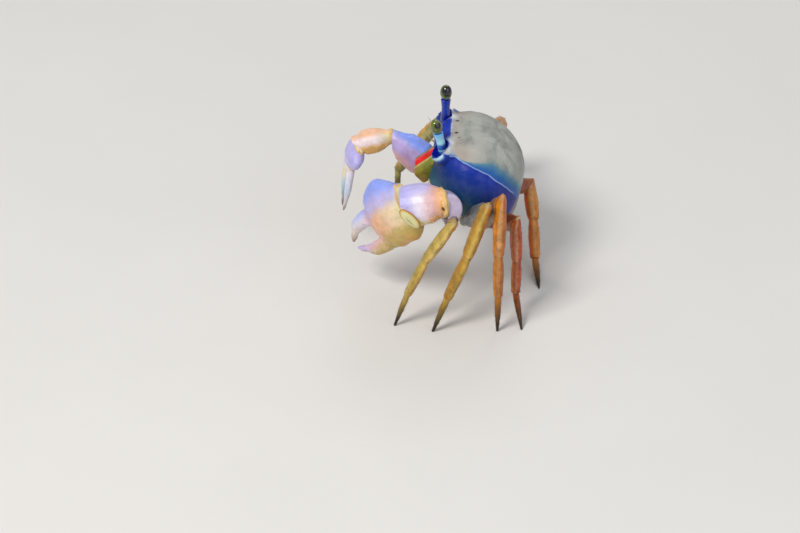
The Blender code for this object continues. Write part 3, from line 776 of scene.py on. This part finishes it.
def carapace_material(settings):
    """Grey back, pale line, deep blue flank and blue eye sockets."""
    shader = ShellShader("Carapace shell", roughness=0.42, coat=0.0, shine=0.14)
    mix, span, times, attribute = shader.mix, shader.span, shader.times, shader.attribute
    grain = shader.grain(granules=900.0, mottling=90.0, specks=420.0)
    flank = attribute("place", 1)
    run = attribute("place", 2)
    wander = times(shader.math("SUBTRACT", grain["Mottle"], 0.5), 0.12)
    edge = shader.math("ADD", flank, wander)
    light, dark = (0.42, 0.42, 0.38), (0.2, 0.21, 0.2)
    back = shader.ramp(grain["Mottle"], ((0.28, dark), (0.48, tuple(settings.back)), (0.72, light)))
    back = mix(times(attribute("streak"), 0.6), back, (0.56, 0.58, 0.56))
    warm = times(span(run, -0.25, -0.6), span(flank, 0.35, 0.1))
    back = mix(times(warm, 0.5), back, (0.4, 0.31, 0.26))
    reach = span(run, -0.68, 0.05, 0.015, 0.27)
    share = shader.math("DIVIDE", edge, reach)
    blend = shader.ramp(share, BLUE_TO_BACK)
    above = mix(span(share, 0.6, 1.1), blend, back)
    wall = shader.ramp(
        times(edge, -1.0),
        ((0.0, tuple(settings.flank)), *WALL_TINTS, (1.0, tuple(settings.low_flank))),
    )
    rear_wall = mix(span(run, 0.25, 0.75), wall, (0.004, 0.01, 0.2))
    colour = mix(span(edge, -0.01, 0.02), rear_wall, above)
    rear = times(span(run, 0.82, 0.92), 0.85)
    colour = mix(rear, colour, (0.26, 0.22, 0.19))
    stray = shader.math("ADD", flank, times(wander, 0.25))
    below, over = span(stray, -0.016, -0.002), span(stray, 0.004, 0.02, 1.0, 0.0)
    line = times(below, over)
    line = times(line, span(run, 0.62, 0.75, 1.0, 0.0))
    broken = span(grain["Mottle"], 0.34, 0.56, 0.35, 0.9)
    colour = mix(times(line, broken), colour, tuple(settings.line))
    colour = mix(attribute("front"), colour, (0.003, 0.025, 0.36))
    speckled = span(grain["Mottle"], 0.4, 0.55, 0.35, 1.0)
    brow = times(attribute("brow"), speckled)
    colour = mix(brow, colour, (0.62, 0.7, 0.74))
    socket = attribute("socket")
    inside = span(socket, 0.98, 1.06, 1.0, 0.0)
    colour = mix(inside, colour, (0.002, 0.012, 0.3))
    colour = mix(attribute("rim"), colour, (0.5, 0.76, 0.86))
    colour = mix(attribute("pits"), colour, (0.012, 0.012, 0.014))
    colour = mix(times(grain["Speck"], 0.25), colour, (0.1, 0.1, 0.1))
    roughness = span(flank, -0.1, 0.2, 0.34, 0.5)
    height = shader.math("ADD", grain["Granule"], times(grain["Mottle"], 1.2))
    return shader.finish(colour, height, 0.00006, roughness)


def fade(first, last):
    """Ramp points from one colour to another."""
    return ((0.0, first), (1.0, last))


def limb_material(name, along, tints=(), mottle=0.25, specks=0.3, granule=1500.0, roughness=0.38, wash=None):
    """A limb segment: colours along it, then tints that its directions mask.

    Each tint is a colour, a strength and pairs of an axis of the piece's own
    place with the values where the tint starts and where it is full.
    """
    shader = ShellShader(name, roughness=roughness, coat=0.07, coat_roughness=0.22, subsurface=0.06)
    grain = shader.grain(granules=granule, mottling=260.0, specks=700.0)
    wobble = shader.times(shader.math("SUBTRACT", grain["Mottle"], 0.5), 0.45)
    axes = [shader.math("ADD", shader.attribute("place", axis), wobble) for axis in range(3)]
    axes[0] = shader.math("ADD", shader.attribute("place", 0), shader.times(wobble, 0.25))
    colour = shader.ramp(axes[0], along)
    for tint, strength, limits in tints:
        mask = strength
        for axis, start, full in limits:
            mask = shader.times(mask, shader.span(axes[axis], start, full))
        colour = shader.mix(mask, colour, tint)
    if wash is not None:
        colour = shader.mix(shader.attribute("wash"), colour, wash)
    shade = shader.span(grain["Mottle"], 0.3, 0.7, 1.0 - mottle, 1.0 + mottle)
    colour = shader.mix(1.0, colour, shade, "MULTIPLY")
    colour = shader.mix(shader.times(grain["Speck"], specks), colour, (0.06, 0.035, 0.012))
    gloss = shader.span(grain["Mottle"], 0.3, 0.7, roughness + 0.1, roughness - 0.06)
    return shader.finish(colour, grain["Granule"], 0.00008, gloss)


def membrane_material(name, colour, deep):
    """Soft skin between two shell segments, deeper in colour at its rim."""
    shader = ShellShader(name, roughness=0.5, coat=0.1, subsurface=0.2)
    grain = shader.grain(granules=1200.0, mottling=500.0, specks=600.0)
    pale = tuple(min(1.0, value * 1.1) for value in colour)
    tint = shader.ramp(grain["Mottle"], ((0.35, colour), (0.6, pale)))
    rim = shader.times(shader.span(shader.attribute("place", 0), 0.8, 0.97), 0.8)
    tint = shader.mix(rim, tint, deep)
    return shader.finish(tint, grain["Mottle"], 0.0001)


def eye_material(name, cornea, pupil_place, pupil):
    """A glossy olive eye with a dark pupil."""
    shader = ShellShader(name, roughness=0.08, coat=1.0, coat_roughness=0.02)
    away = shader.add("ShaderNodeVectorMath")
    away.operation = "DISTANCE"
    shader.link(shader.place(), away.inputs[0])
    away.inputs[1].default_value = pupil_place
    reach = away.outputs["Value"]
    facets = shader.grain(granules=5000.0, mottling=400.0, specks=900.0)
    dim, bright = (tuple(value * share for value in cornea) for share in (0.6, 1.5))
    body = shader.ramp(facets["Mottle"], ((0.3, dim), (0.7, bright)))
    low = shader.attribute("place", 0)
    body = shader.mix(shader.span(low, 0.05, 0.4, 0.8, 0.0), body, (0.16, 0.22, 0.16))
    colour = shader.mix(shader.span(reach, pupil * 0.6, pupil, 1.0, 0.0), body, (0.004, 0.006, 0.01))
    return shader.finish(colour)


def stalk_material(name, pale, base, dark):
    """An eyestalk that deepens in colour towards its root."""
    shader = ShellShader(name, roughness=0.22, coat=0.6, coat_roughness=0.08)
    grain = shader.grain(granules=2500.0, mottling=300.0, specks=700.0)
    bands = (dark, dark, pale, dark, dark, pale, pale, base)
    edges = (0.0, 0.14, 0.2, 0.26, 0.42, 0.54, 0.85, 1.0)
    colour = shader.ramp(shader.attribute("place", 0), tuple(zip(edges, bands)))
    colour = shader.mix(shader.span(grain["Mottle"], 0.35, 0.65, 0.0, 0.4), colour, base)
    return shader.finish(colour, grain["Granule"], 0.00003)


# Each leg: the axis across which its colours change, its ground colour, then
# the colours of the positive margin, the middle stripe and the negative margin
RISE, BESIDE = 1, 2
LEG_COLOURS = {
    ("left", 1): (RISE, (0.53, 0.36, 0.07), (0.4, 0.3, 0.08), (0.7, 0.54, 0.2), (0.7, 0.26, 0.03)),
    ("left", 2): (RISE, (0.48, 0.29, 0.04), (0.36, 0.19, 0.03), (0.64, 0.45, 0.11), (0.5, 0.17, 0.03)),
    ("left", 3): (BESIDE, (0.52, 0.19, 0.012), (0.56, 0.21, 0.01), (0.46, 0.31, 0.2), (0.44, 0.11, 0.015)),
    ("left", 4): (BESIDE, (0.52, 0.13, 0.015), (0.54, 0.15, 0.012), (0.66, 0.42, 0.32), (0.4, 0.045, 0.012)),
    ("right", 1): (RISE, (0.34, 0.29, 0.07), (0.58, 0.3, 0.04), (0.36, 0.33, 0.16), (0.2, 0.17, 0.05)),
    ("right", 2): (RISE, (0.4, 0.28, 0.06), (0.5, 0.24, 0.04), (0.52, 0.42, 0.16), (0.28, 0.18, 0.04)),
    ("right", 3): (BESIDE, (0.5, 0.22, 0.03), (0.52, 0.2, 0.02), (0.5, 0.38, 0.28), (0.44, 0.14, 0.03)),
    ("right", 4): (BESIDE, (0.6, 0.22, 0.03), (0.54, 0.1, 0.02), (0.68, 0.44, 0.22), (0.6, 0.22, 0.03)),
}
MERUS_COLOURS = ((0.2, 0.18, 0.27), (0.13, 0.14, 0.15), (0.28, 0.15, 0.09), (0.34, 0.11, 0.06))
LEG_TIP = (0.03, 0.02, 0.008)


def leg_material(side, number, part):
    """The material of one leg segment."""
    axis, ground, positive, stripe, negative = LEG_COLOURS[(side, number)]
    name = "Leg " + side + " " + str(number) + " " + part
    margins = [
        (positive, 0.9, ((axis, 0.3, 0.75),)),
        (negative, 0.9, ((axis, -0.3, -0.75),)),
        (stripe, 0.55 if part == "carpus" else 0.25, ((axis, -0.45, -0.15), (axis, 0.4, 0.1))),
    ]
    if part == "merus":
        high = MERUS_COLOURS[number - 1]
        cream = ((0.66, 0.58, 0.42), 0.8 if number == 1 else 0.3, ((RISE, -0.35, -0.8),))
        knee = (ground, 0.8, ((0, 0.82, 0.95),))
        return limb_material(name, ((0.0, high), (0.75, high), (1.0, ground)), (cream, knee))
    if part == "carpus":
        tip = (tuple(0.5 * (g + 0.45) for g in ground), 0.7, ((0, 0.14, 0.0),))
        return limb_material(name, fade(ground, ground), (*margins, tip), specks=0.45)
    if part == "propodus":
        deep = tuple(value * share for value, share in zip(ground, (0.72, 0.62, 0.4)))
        return limb_material(name, fade(ground, deep), margins, specks=0.4)
    dusk = tuple(value * 0.5 for value in ground)
    return limb_material(name, ((0.0, ground), (0.3, dusk), (0.75, LEG_TIP)), specks=0.5)


# Claw colours that are named once
WHITE_LILAC = (0.76, 0.7, 0.82)
LAVENDER_BLUE = (0.19, 0.32, 0.9)
SALMON = (0.82, 0.45, 0.25)
OLIVE_YELLOW = (0.56, 0.42, 0.1)
TIP_BROWN = (0.25, 0.14, 0.06)
GRANULE_TAN = (0.8, 0.5, 0.22)


def claw_materials(settings):
    """The material of each claw segment, by side and part."""
    lilac, rose = tuple(settings.lilac), tuple(settings.rose)
    orange, cream = tuple(settings.orange), tuple(settings.cream)
    recipes = {
        ("left", "merus"): (
            fade((0.34, 0.3, 0.44), (0.5, 0.43, 0.6)),
            [(LAVENDER_BLUE, 0.7, ((RISE, 0.35, 0.95),)), ((0.62, 0.5, 0.46), 0.7, ((RISE, -0.3, -0.9),))],
        ),
        ("left", "carpus"): (
            (
                (0.0, orange), (0.07, orange), (0.16, SALMON), (0.28, (0.74, 0.44, 0.42)),
                (0.44, (0.78, 0.6, 0.66)), (0.6, WHITE_LILAC), (0.85, lilac),
            ),
            [
                (lilac, 0.85, ((RISE, 0.15, 0.8), (0, 0.2, 0.45))),
                (orange, 0.8, ((RISE, -0.6, -0.85), (0, 0.5, 0.3))),
                (cream, 0.8, ((RISE, -0.75, -0.95), (0, 0.35, 0.55))),
            ],
        ),
        ("left", "palm"): (
            ((0.0, cream), (0.16, (0.8, 0.62, 0.42)), (0.4, SALMON), (0.75, rose), (1.0, lilac)),
            [
                (lilac, 0.9, ((RISE, -0.05, 0.35),)),
                (LAVENDER_BLUE, 0.75, ((RISE, 0.35, 0.85),)),
                (OLIVE_YELLOW, 0.9, ((RISE, -0.35, -0.75),)),
                (orange, 0.6, ((RISE, -0.75, -0.98), (0, 0.7, 0.3))),
            ],
        ),
        ("left", "finger"): (
            ((0.0, rose), (0.25, WHITE_LILAC), (0.75, (0.74, 0.66, 0.6)), (1.0, TIP_BROWN)),
            [(LAVENDER_BLUE, 0.6, ((RISE, 0.3, 0.9), (0, 0.8, 0.5)))],
        ),
        ("right", "merus"): (
            ((0.0, (0.42, 0.3, 0.52)), (0.85, (0.46, 0.38, 0.7)), (1.0, WHITE_LILAC)),
            [
                (LAVENDER_BLUE, 0.9, ((RISE, 0.0, 0.55),)),
                (SALMON, 0.75, ((RISE, -0.45, -0.85),)),
                ((0.42, 0.22, 0.38), 0.6, ((RISE, -0.1, -0.5), (0, 0.8, 0.4))),
            ],
        ),
        ("right", "carpus"): (
            ((0.0, orange), (0.12, cream), (0.35, (0.84, 0.72, 0.7)), (1.0, (0.8, 0.66, 0.68))),
            [(SALMON, 0.85, ((RISE, 0.15, 0.6),)), ((0.8, 0.44, 0.07), 0.9, ((RISE, -0.2, -0.65),))],
        ),
        ("right", "palm"): (
            (
                (0.0, lilac), (0.2, lilac), (0.42, WHITE_LILAC), (0.55, cream),
                (0.7, (0.45, 0.62, 0.8)), (1.0, TIP_BROWN),
            ),
            [(lilac, 0.8, ((RISE, 0.1, 0.7), (0, 0.6, 0.4)))],
        ),
        ("right", "finger"): (
            (
                (0.0, cream), (0.12, WHITE_LILAC), (0.5, (0.62, 0.72, 0.86)),
                (0.8, (0.66, 0.62, 0.62)), (1.0, TIP_BROWN),
            ),
            [(lilac, 0.7, ((RISE, 0.2, 0.8), (0, 0.85, 0.6)))],
        ),
    }
    return {
        key: limb_material(
            "Claw " + " ".join(key), along, tints, mottle=0.1, specks=0.12, granule=1900.0, roughness=0.36,
            wash=(0.72, 0.6, 0.3) if key == ("left", "carpus") else None,
        )
        for key, (along, tints) in recipes.items()
    }


class CRAB_OT_carapace(bpy.types.Operator):
    """Dresses the carapace, the thorax, the abdomen and the mouth plates"""

    bl_idname = "crab.carapace"
    bl_label = "Carapace and Belly"

    def execute(self, context):
        settings = context.scene.crab_shell
        shell = dress_node("carapace", settings.resolution, 14, LUMPS["carapace"])
        carry_body(shell)
        lift_surface(shell, shell_relief(shell))
        shell.data.materials.append(carapace_material(settings))
        pale = limb_material("Belly plates", fade((0.52, 0.47, 0.3), (0.62, 0.53, 0.32)), mottle=0.2)
        for node in ("thorax", "abdomen"):
            axes = limb_axes(node, BODY_CENTRE)
            plate = dress_node(node, settings.resolution, 6, LUMPS["belly"], axes, belly_relief)
            plate.data.materials.append(pale)
        for side in SIDES:
            inner = 1.0 if side == "left" else -1.0
            low, high = (0.38, 0.58) if side == "left" else (-0.25, 0.15)
            margin = ((0.8, 0.015, 0.008), 1.0, ((RISE, 0.1, 0.35), (BESIDE, low * inner, high * inner)))
            edges = ((BESIDE, -0.1 * inner, 0.15 * inner), (BESIDE, 0.45 * inner, 0.2 * inner))
            stripe = ((0.6, 0.48, 0.14), 0.8, edges)
            olive = ((0.0, (0.26, 0.26, 0.03)), (0.6, (0.19, 0.2, 0.02)), (1.0, (0.32, 0.2, 0.03)))
            mouth = limb_material("Mouth plate " + side, olive, (stripe, margin), roughness=0.32)
            node = "maxilliped_" + side
            plate = dress_node(node, 0.0003, 8, LUMPS["mouth"], mouth_axes(node))
            plate.data.materials.append(mouth)
            node = "antenna_" + side
            feeler = dress_node(node, 0.00016, 3, LUMPS["feeler"], limb_axes(node, BODY_CENTRE))
            feeler.data.materials.append(pale)
        return {"FINISHED"}


def mouth_axes(node):
    """A mouth plate's axes: down along the plate, and forward from the face."""
    low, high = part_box(node)
    middle = np.asarray((low + high) / 2)
    down = np.asarray(BODY_PLACE.to_3x3() @ Vector((0.0, 0.0, -1.0)))
    forward = np.asarray(BODY_PLACE.to_3x3() @ Vector((0.0, -1.0, 0.0)))
    return middle - down * 0.009, middle + down * 0.009, forward, np.cross(down, forward)


def belly_relief(piece):
    """Shallow grooves between the belly's plates."""
    run = in_body(vertex_array(piece))[:, 1]
    return -0.00025 * bell((run * 1000.0 + 40.0) % 5.0, 2.5, 0.45)


# From the middle of an eye to its dark pupil
PUPIL_OFFSET = Vector((0.002, 0.0008, 0.0014))


class CRAB_OT_eyes(bpy.types.Operator):
    """Dresses the eyes and their stalks"""

    bl_idname = "crab.eyes"
    bl_label = "Eyes and Stalks"

    def execute(self, context):
        settings = context.scene.crab_eyes
        pale = tuple(settings.sunlit_stalk)
        dark = tuple(settings.shaded_stalk)
        # The near stalk is a copy of the blue stalk in painted sunlight, and the far stalk is a copy in
        # painted shade
        stalks = {
            "left": stalk_material("Pale stalk", (0.42, 0.8, 0.92), pale, dark),
            "right": stalk_material("Dark stalk", (0.02, 0.06, 0.4), dark, (0.002, 0.01, 0.2)),
        }
        for side in SIDES:
            node = "eyestalk_" + side
            stalk = dress_node(node, 0.00022, 6, LUMPS["stalk"], limb_axes(node, BODY_CENTRE))
            stalk.data.materials.append(stalks[side])
            node = "eye_" + side
            low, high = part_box(node)
            pupil = (low + high) / 2 + PUPIL_OFFSET
            eye = dress_node(node, 0.0002, 10, LUMPS["eye"], limb_axes(node, BODY_CENTRE))
            wide = 0.002 if side == "left" else 0.0034
            eye.data.materials.append(eye_material("Eye " + side, tuple(settings.cornea), pupil, wide))
        return {"FINISHED"}


class CRAB_OT_claws(bpy.types.Operator):
    """Dresses the segments of both claws"""

    bl_idname = "crab.claws"
    bl_label = "Claws"

    def execute(self, context):
        settings = context.scene.crab_claws
        materials = claw_materials(settings)
        skin = membrane_material("Joint skin", (0.8, 0.75, 0.5), (0.72, 0.4, 0.1))
        bump = limb_material("Claw granules", fade(GRANULE_TAN, GRANULE_TAN), mottle=0.2, specks=0.0)
        for side in SIDES:
            arm = 1.0 if side == "left" else 0.78
            joints = [BODY_CENTRE + Vector(joint) for joint in CLAW_JOINTS[side]]
            for part in CLAW_PARTS:
                node = "claw_" + side + "_" + part
                cell, rounds = settings.resolution * arm, 24 if part == "merus" else 8
                axes, relief = claw_axes(side, part), CLAW_RELIEF[part]
                piece = dress_node(node, cell, rounds, LUMPS["claw"], axes, relief, carry_straight)
                if side == "left" and part == "carpus":
                    carry_wash(piece)
                    dress_wrist(piece)
                piece.data.materials.append(materials[side, part])
                run, rise, _ = carried(piece, "place").T
                if part == "merus":
                    weights = bell(np.abs(rise), 0.95, 0.12) * smooth_step(run, 0.1, 0.3)
                    count, low, high, seed = 110, 0.00012, 0.00026, 31
                elif part == "carpus":
                    weights = smooth_step(-rise, 0.5, 0.9) * smooth_step(0.55 - run, 0.0, 0.25)
                    count, low, high, seed = 70, 0.0002, 0.00055, 33
                else:
                    continue
                places = spread_points(piece, weights, count, seed)
                granules(node + "_granules", places, low * arm, high * arm, seed + 1, bump)
            depths = (0.0026, 0.0012, 0.001) if side == "left" else (0.0018, 0.0012, 0.0008)
            shares = (1.02, 0.9, 0.95)
            for index, name in enumerate(("carpus", "palm", "finger")):
                node = "claw_" + side + "_" + name
                joint_skin(node + "_skin", node, joints[index + 1], shares[index], depths[index], skin)
        return {"FINISHED"}


# A plane that parts the near carpus from the soft wrist below it, from the middle of the body
WASH_PLACE = np.array((0.0425, -0.031, -0.0015))
WASH_WAY = np.array((-0.558, -0.029, 0.829)) * -0.836 + np.array((-0.0523, 0.9986, 0.0)) * -0.547
# The soft wrist pad and the elbow notch with its painted shade: places from the middle of the body
PAD_PLACE = Vector((0.0428, -0.0306, -0.0039))
PAD_WAY = Vector((-0.5, 5.7, -7.6))
NOTCH_PLACE = Vector((0.0418, -0.015, 0.0009))


def carry_wash(piece):
    """Marks the soft skin below the near carpus."""
    offsets = vertex_array(piece) - np.asarray(BODY_CENTRE) - WASH_PLACE
    carry(piece, "wash", smooth_step(offsets @ WASH_WAY, -0.0002, 0.0006))


def dress_wrist(piece):
    """The oval pad with its slit below the near carpus, and the notch at its elbow; the slit and the notch
    are dark ovals of painted shade.
    """
    pad = membrane_material("Wrist pad", (0.7, 0.66, 0.34), (0.62, 0.34, 0.06))
    # Near-black skin that paints the shade inside the slit and the notch
    dark = membrane_material("Painted crease shade", (0.1, 0.05, 0.025), (0.05, 0.025, 0.012))
    brown = membrane_material("Wrist pad edge", (0.42, 0.2, 0.05), (0.42, 0.2, 0.05))
    for label, place, halves, material in (
        ("wrist_pad", PAD_PLACE, (0.007, 0.003, 0.0017), pad),
        ("wrist_slit_shade", PAD_PLACE, (0.0048, 0.0002, 0.0019), dark),
        ("wrist_edge", PAD_PLACE, (0.0073, 0.0033, 0.0009), brown),
        ("elbow_notch_shade", NOTCH_PLACE, (0.001, 0.0006, 0.0012), dark),
    ):
        surface_pad("claw_left_" + label, piece, BODY_CENTRE + place, PAD_WAY, halves, material)


def surface_pad(name, piece, place, way, halves, material):
    """A soft oval lying on a piece's surface."""
    gaps = np.linalg.norm(vertex_array(piece) - np.asarray(place), axis=1)
    index = int(gaps.argmin())
    normal = Vector(piece.data.vertex_normals[index].vector)
    way = (way - normal * way.dot(normal)).normalized()
    soft_oval(name, piece.data.vertices[index].co.copy(), way, normal, halves, material)


def ridged(piece):
    """Raised margins above and below, fading to the segment's ends."""
    run, rise, _ = carried(piece, "place").T
    middle = smooth_step(run, 0.04, 0.2) * smooth_step(1.0 - run, 0.02, 0.15)
    return 0.00035 * smooth_step(np.abs(rise), 0.8, 1.05) * middle


def domed(piece):
    """A palm with a shallow groove above the fixed finger."""
    run, rise, _ = carried(piece, "place").T
    groove = bell(rise, -0.45, 0.1) * smooth_step(run, 0.35, 0.6)
    return -0.00035 * groove


def fingered(piece):
    """Shallow lengthwise grooves on the moving finger."""
    run, rise, _ = carried(piece, "place").T
    return -0.00022 * bell(rise, 0.2, 0.16) * smooth_step(run, 0.1, 0.3) * smooth_step(1.0 - run, 0.1, 0.3)


CLAW_RELIEF = {"merus": ridged, "carpus": ridged, "palm": domed, "finger": fingered}


class CRAB_OT_legs(bpy.types.Operator):
    """Dresses the segments of the eight walking legs"""

    bl_idname = "crab.legs"
    bl_label = "Walking Legs"

    def execute(self, context):
        settings = context.scene.crab_legs
        skin = membrane_material("Leg joint skin", (0.66, 0.5, 0.24), (0.4, 0.22, 0.08))
        hair = limb_material("Leg bristles", fade((0.05, 0.03, 0.015), (0.1, 0.06, 0.03)), specks=0.0)
        for side in SIDES:
            for number in range(1, 5):
                before = BODY_CENTRE
                leg = "leg_" + side + "_" + str(number)
                size, height, seed = LUMPS["leg"]
                lumps = (size, height, seed + number)
                spots = []
                for part in LEG_PARTS:
                    node = leg + "_" + part
                    axes = limb_axes(node, before)
                    piece = dress_node(node, settings.resolution, 7, lumps, axes, LEG_RELIEF[part])
                    piece.data.materials.append(leg_material(side, number, part))
                    if part != "merus":
                        joint_skin(node + "_skin", node, before, 0.86, 0.0011, skin)
                    run, rise, beside = carried(piece, "place").T
                    margins = smooth_step(np.abs(rise), 0.75, 1.0) + smooth_step(np.abs(beside), 0.85, 1.0)
                    inside = smooth_step(run, 0.1, 0.3) * smooth_step(0.97 - run, 0.0, 0.1)
                    spots += spread_points(piece, margins * inside, BRISTLE_COUNTS[part], 41 + number)
                    before = Vector(axes[1])
                bristles(leg + "_bristles", spots, 51 + number, hair)
        return {"FINISHED"}


BRISTLE_COUNTS = {"merus": 30, "carpus": 50, "propodus": 90, "dactyl": 110}


def leg_plane(piece):
    """A leg segment's raised margins and flattened sides, as real shin plates have."""
    run, rise, beside = carried(piece, "place").T
    middle = smooth_step(run, 0.05, 0.2) * smooth_step(1.0 - run, 0.03, 0.15)
    ridges = smooth_step(np.abs(rise), 0.8, 1.05) + 0.6 * smooth_step(np.abs(beside), 0.85, 1.05)
    return (0.00022 * ridges - 0.0001 * bell(np.abs(rise), 0.45, 0.15)) * middle


def claw_tip(piece):
    """Lengthwise grooves of the walking claw at the end of a leg."""
    run, rise, _ = carried(piece, "place").T
    grooves = bell(rise, 0.0, 0.25) + bell(np.abs(rise), 0.75, 0.15)
    return -0.00012 * grooves * smooth_step(1.0 - run, 0.1, 0.4)


LEG_RELIEF = {"merus": leg_plane, "carpus": leg_plane, "propodus": leg_plane, "dactyl": claw_tip}


class CRAB_OT_stage(bpy.types.Operator):
    """Sets the pale floor, the soft lights and the camera"""

    bl_idname = "crab.stage"
    bl_label = "Floor, Lights and Camera"

    def execute(self, context):
        settings = context.scene.crab_stage
        form = bmesh.new()
        bmesh.ops.create_grid(form, x_segments=1, y_segments=1, size=6.0)
        floor = object_from(form, "stage_floor")
        shader = ShellShader("Pale floor", roughness=0.8)
        grain = shader.grain(granules=300.0, mottling=8.0, specks=40.0)
        pale = tuple(settings.floor)
        shaded = tuple(value * 0.97 for value in pale)
        tint = shader.ramp(grain["Mottle"], ((0.3, shaded), (0.7, pale)))
        floor.data.materials.append(shader.finish(tint))
        world = bpy.data.worlds.new("Studio")
        context.scene.world = world
        world.use_nodes = True
        sky = world.node_tree.nodes["Background"]
        sky.inputs["Color"].default_value = (0.93, 0.95, 1.0, 1.0)
        sky.inputs["Strength"].default_value = 0.36
        lights = (
            ("key", Vector((0.9, -0.7, 1.5)), 0.6, 24.0, (1.0, 0.96, 0.9)),
            ("fill", Vector((0.9, 0.9, 0.9)), 1.2, 4.5, (0.92, 0.96, 1.0)),
            ("back", Vector((-1.2, 0.2, 1.1)), 1.0, 5.0, (1.0, 1.0, 1.0)),
        )
        for name, place, size, power, tint in lights:
            lamp = bpy.data.lights.new("light_" + name, "AREA")
            lamp.size = size
            lamp.energy = power
            lamp.color = tint
            light = bpy.data.objects.new("light_" + name, lamp)
            context.scene.collection.objects.link(light)
            light.location = place
            light.rotation_euler = (BODY_CENTRE - place).to_track_quat("-Z", "Y").to_euler()
        context.scene.view_settings.view_transform = "Standard"
        place_camera(context.scene, settings)
        return {"FINISHED"}


# the photograph's frame: pixels, pixels per metre at the body, and the body's pixel
FRAME_WIDTH = 800
FRAME_HEIGHT = 533
PIXELS_PER_METRE = 2070.0
BODY_PIXEL = (478.0, 164.0)


def place_camera(scene, settings):
    """A long lens that frames the crab as the photograph does."""
    turn, lift = settings.azimuth, settings.elevation
    back = Vector((math.sin(turn) * math.cos(lift), -math.cos(turn) * math.cos(lift), math.sin(lift)))
    right = Vector((math.cos(turn), math.sin(turn), 0.0))
    up = Vector((-math.sin(turn) * math.sin(lift), math.cos(turn) * math.sin(lift), math.cos(lift)))
    width = FRAME_WIDTH / PIXELS_PER_METRE
    lens = bpy.data.cameras.new("camera")
    lens.lens = settings.lens
    lens.sensor_width = 36.0
    lens.clip_end = 20.0
    distance = width * lens.lens / lens.sensor_width
    target = BODY_CENTRE + right * ((FRAME_WIDTH / 2 - BODY_PIXEL[0]) / PIXELS_PER_METRE)
    target += up * ((BODY_PIXEL[1] - FRAME_HEIGHT / 2) / PIXELS_PER_METRE)
    camera = bpy.data.objects.new("camera", lens)
    scene.collection.objects.link(camera)
    camera.location = target + back * distance
    camera.rotation_euler = Matrix((right, up, back)).transposed().to_euler()
    scene.camera = camera


class CRAB_PT_panel(bpy.types.Panel):
    """Lists the steps that build the crab"""

    bl_idname = "CRAB_PT_panel"
    bl_label = "Blue Land Crab"
    bl_space_type = "VIEW_3D"
    bl_region_type = "UI"
    bl_category = "Crab"

    def draw(self, context):
        for step in STEPS:
            self.layout.operator(step.bl_idname)


SETTINGS = {
    "crab_shell": CrabShellSettings,
    "crab_claws": CrabClawSettings,
    "crab_legs": CrabLegSettings,
    "crab_eyes": CrabEyeSettings,
    "crab_stage": CrabStageSettings,
}
STEPS = (CRAB_OT_carapace, CRAB_OT_eyes, CRAB_OT_claws, CRAB_OT_legs, CRAB_OT_stage)


def register():
    """Registers the settings, the steps and the panel."""
    for name, group in SETTINGS.items():
        bpy.utils.register_class(group)
        setattr(bpy.types.Scene, name, bpy.props.PointerProperty(type=group))
    for step in (*STEPS, CRAB_PT_panel):
        bpy.utils.register_class(step)


def unregister():
    """Takes the settings, the steps and the panel away."""
    for step in (*STEPS, CRAB_PT_panel):
        bpy.utils.unregister_class(step)
    for name, group in SETTINGS.items():
        delattr(bpy.types.Scene, name)
        bpy.utils.unregister_class(group)


def main():
    """Builds every piece in order."""
    register()
    bpy.ops.crab.carapace()
    bpy.ops.crab.eyes()
    bpy.ops.crab.claws()
    bpy.ops.crab.legs()
    bpy.ops.crab.stage()


if __name__ == "__main__":
    main()
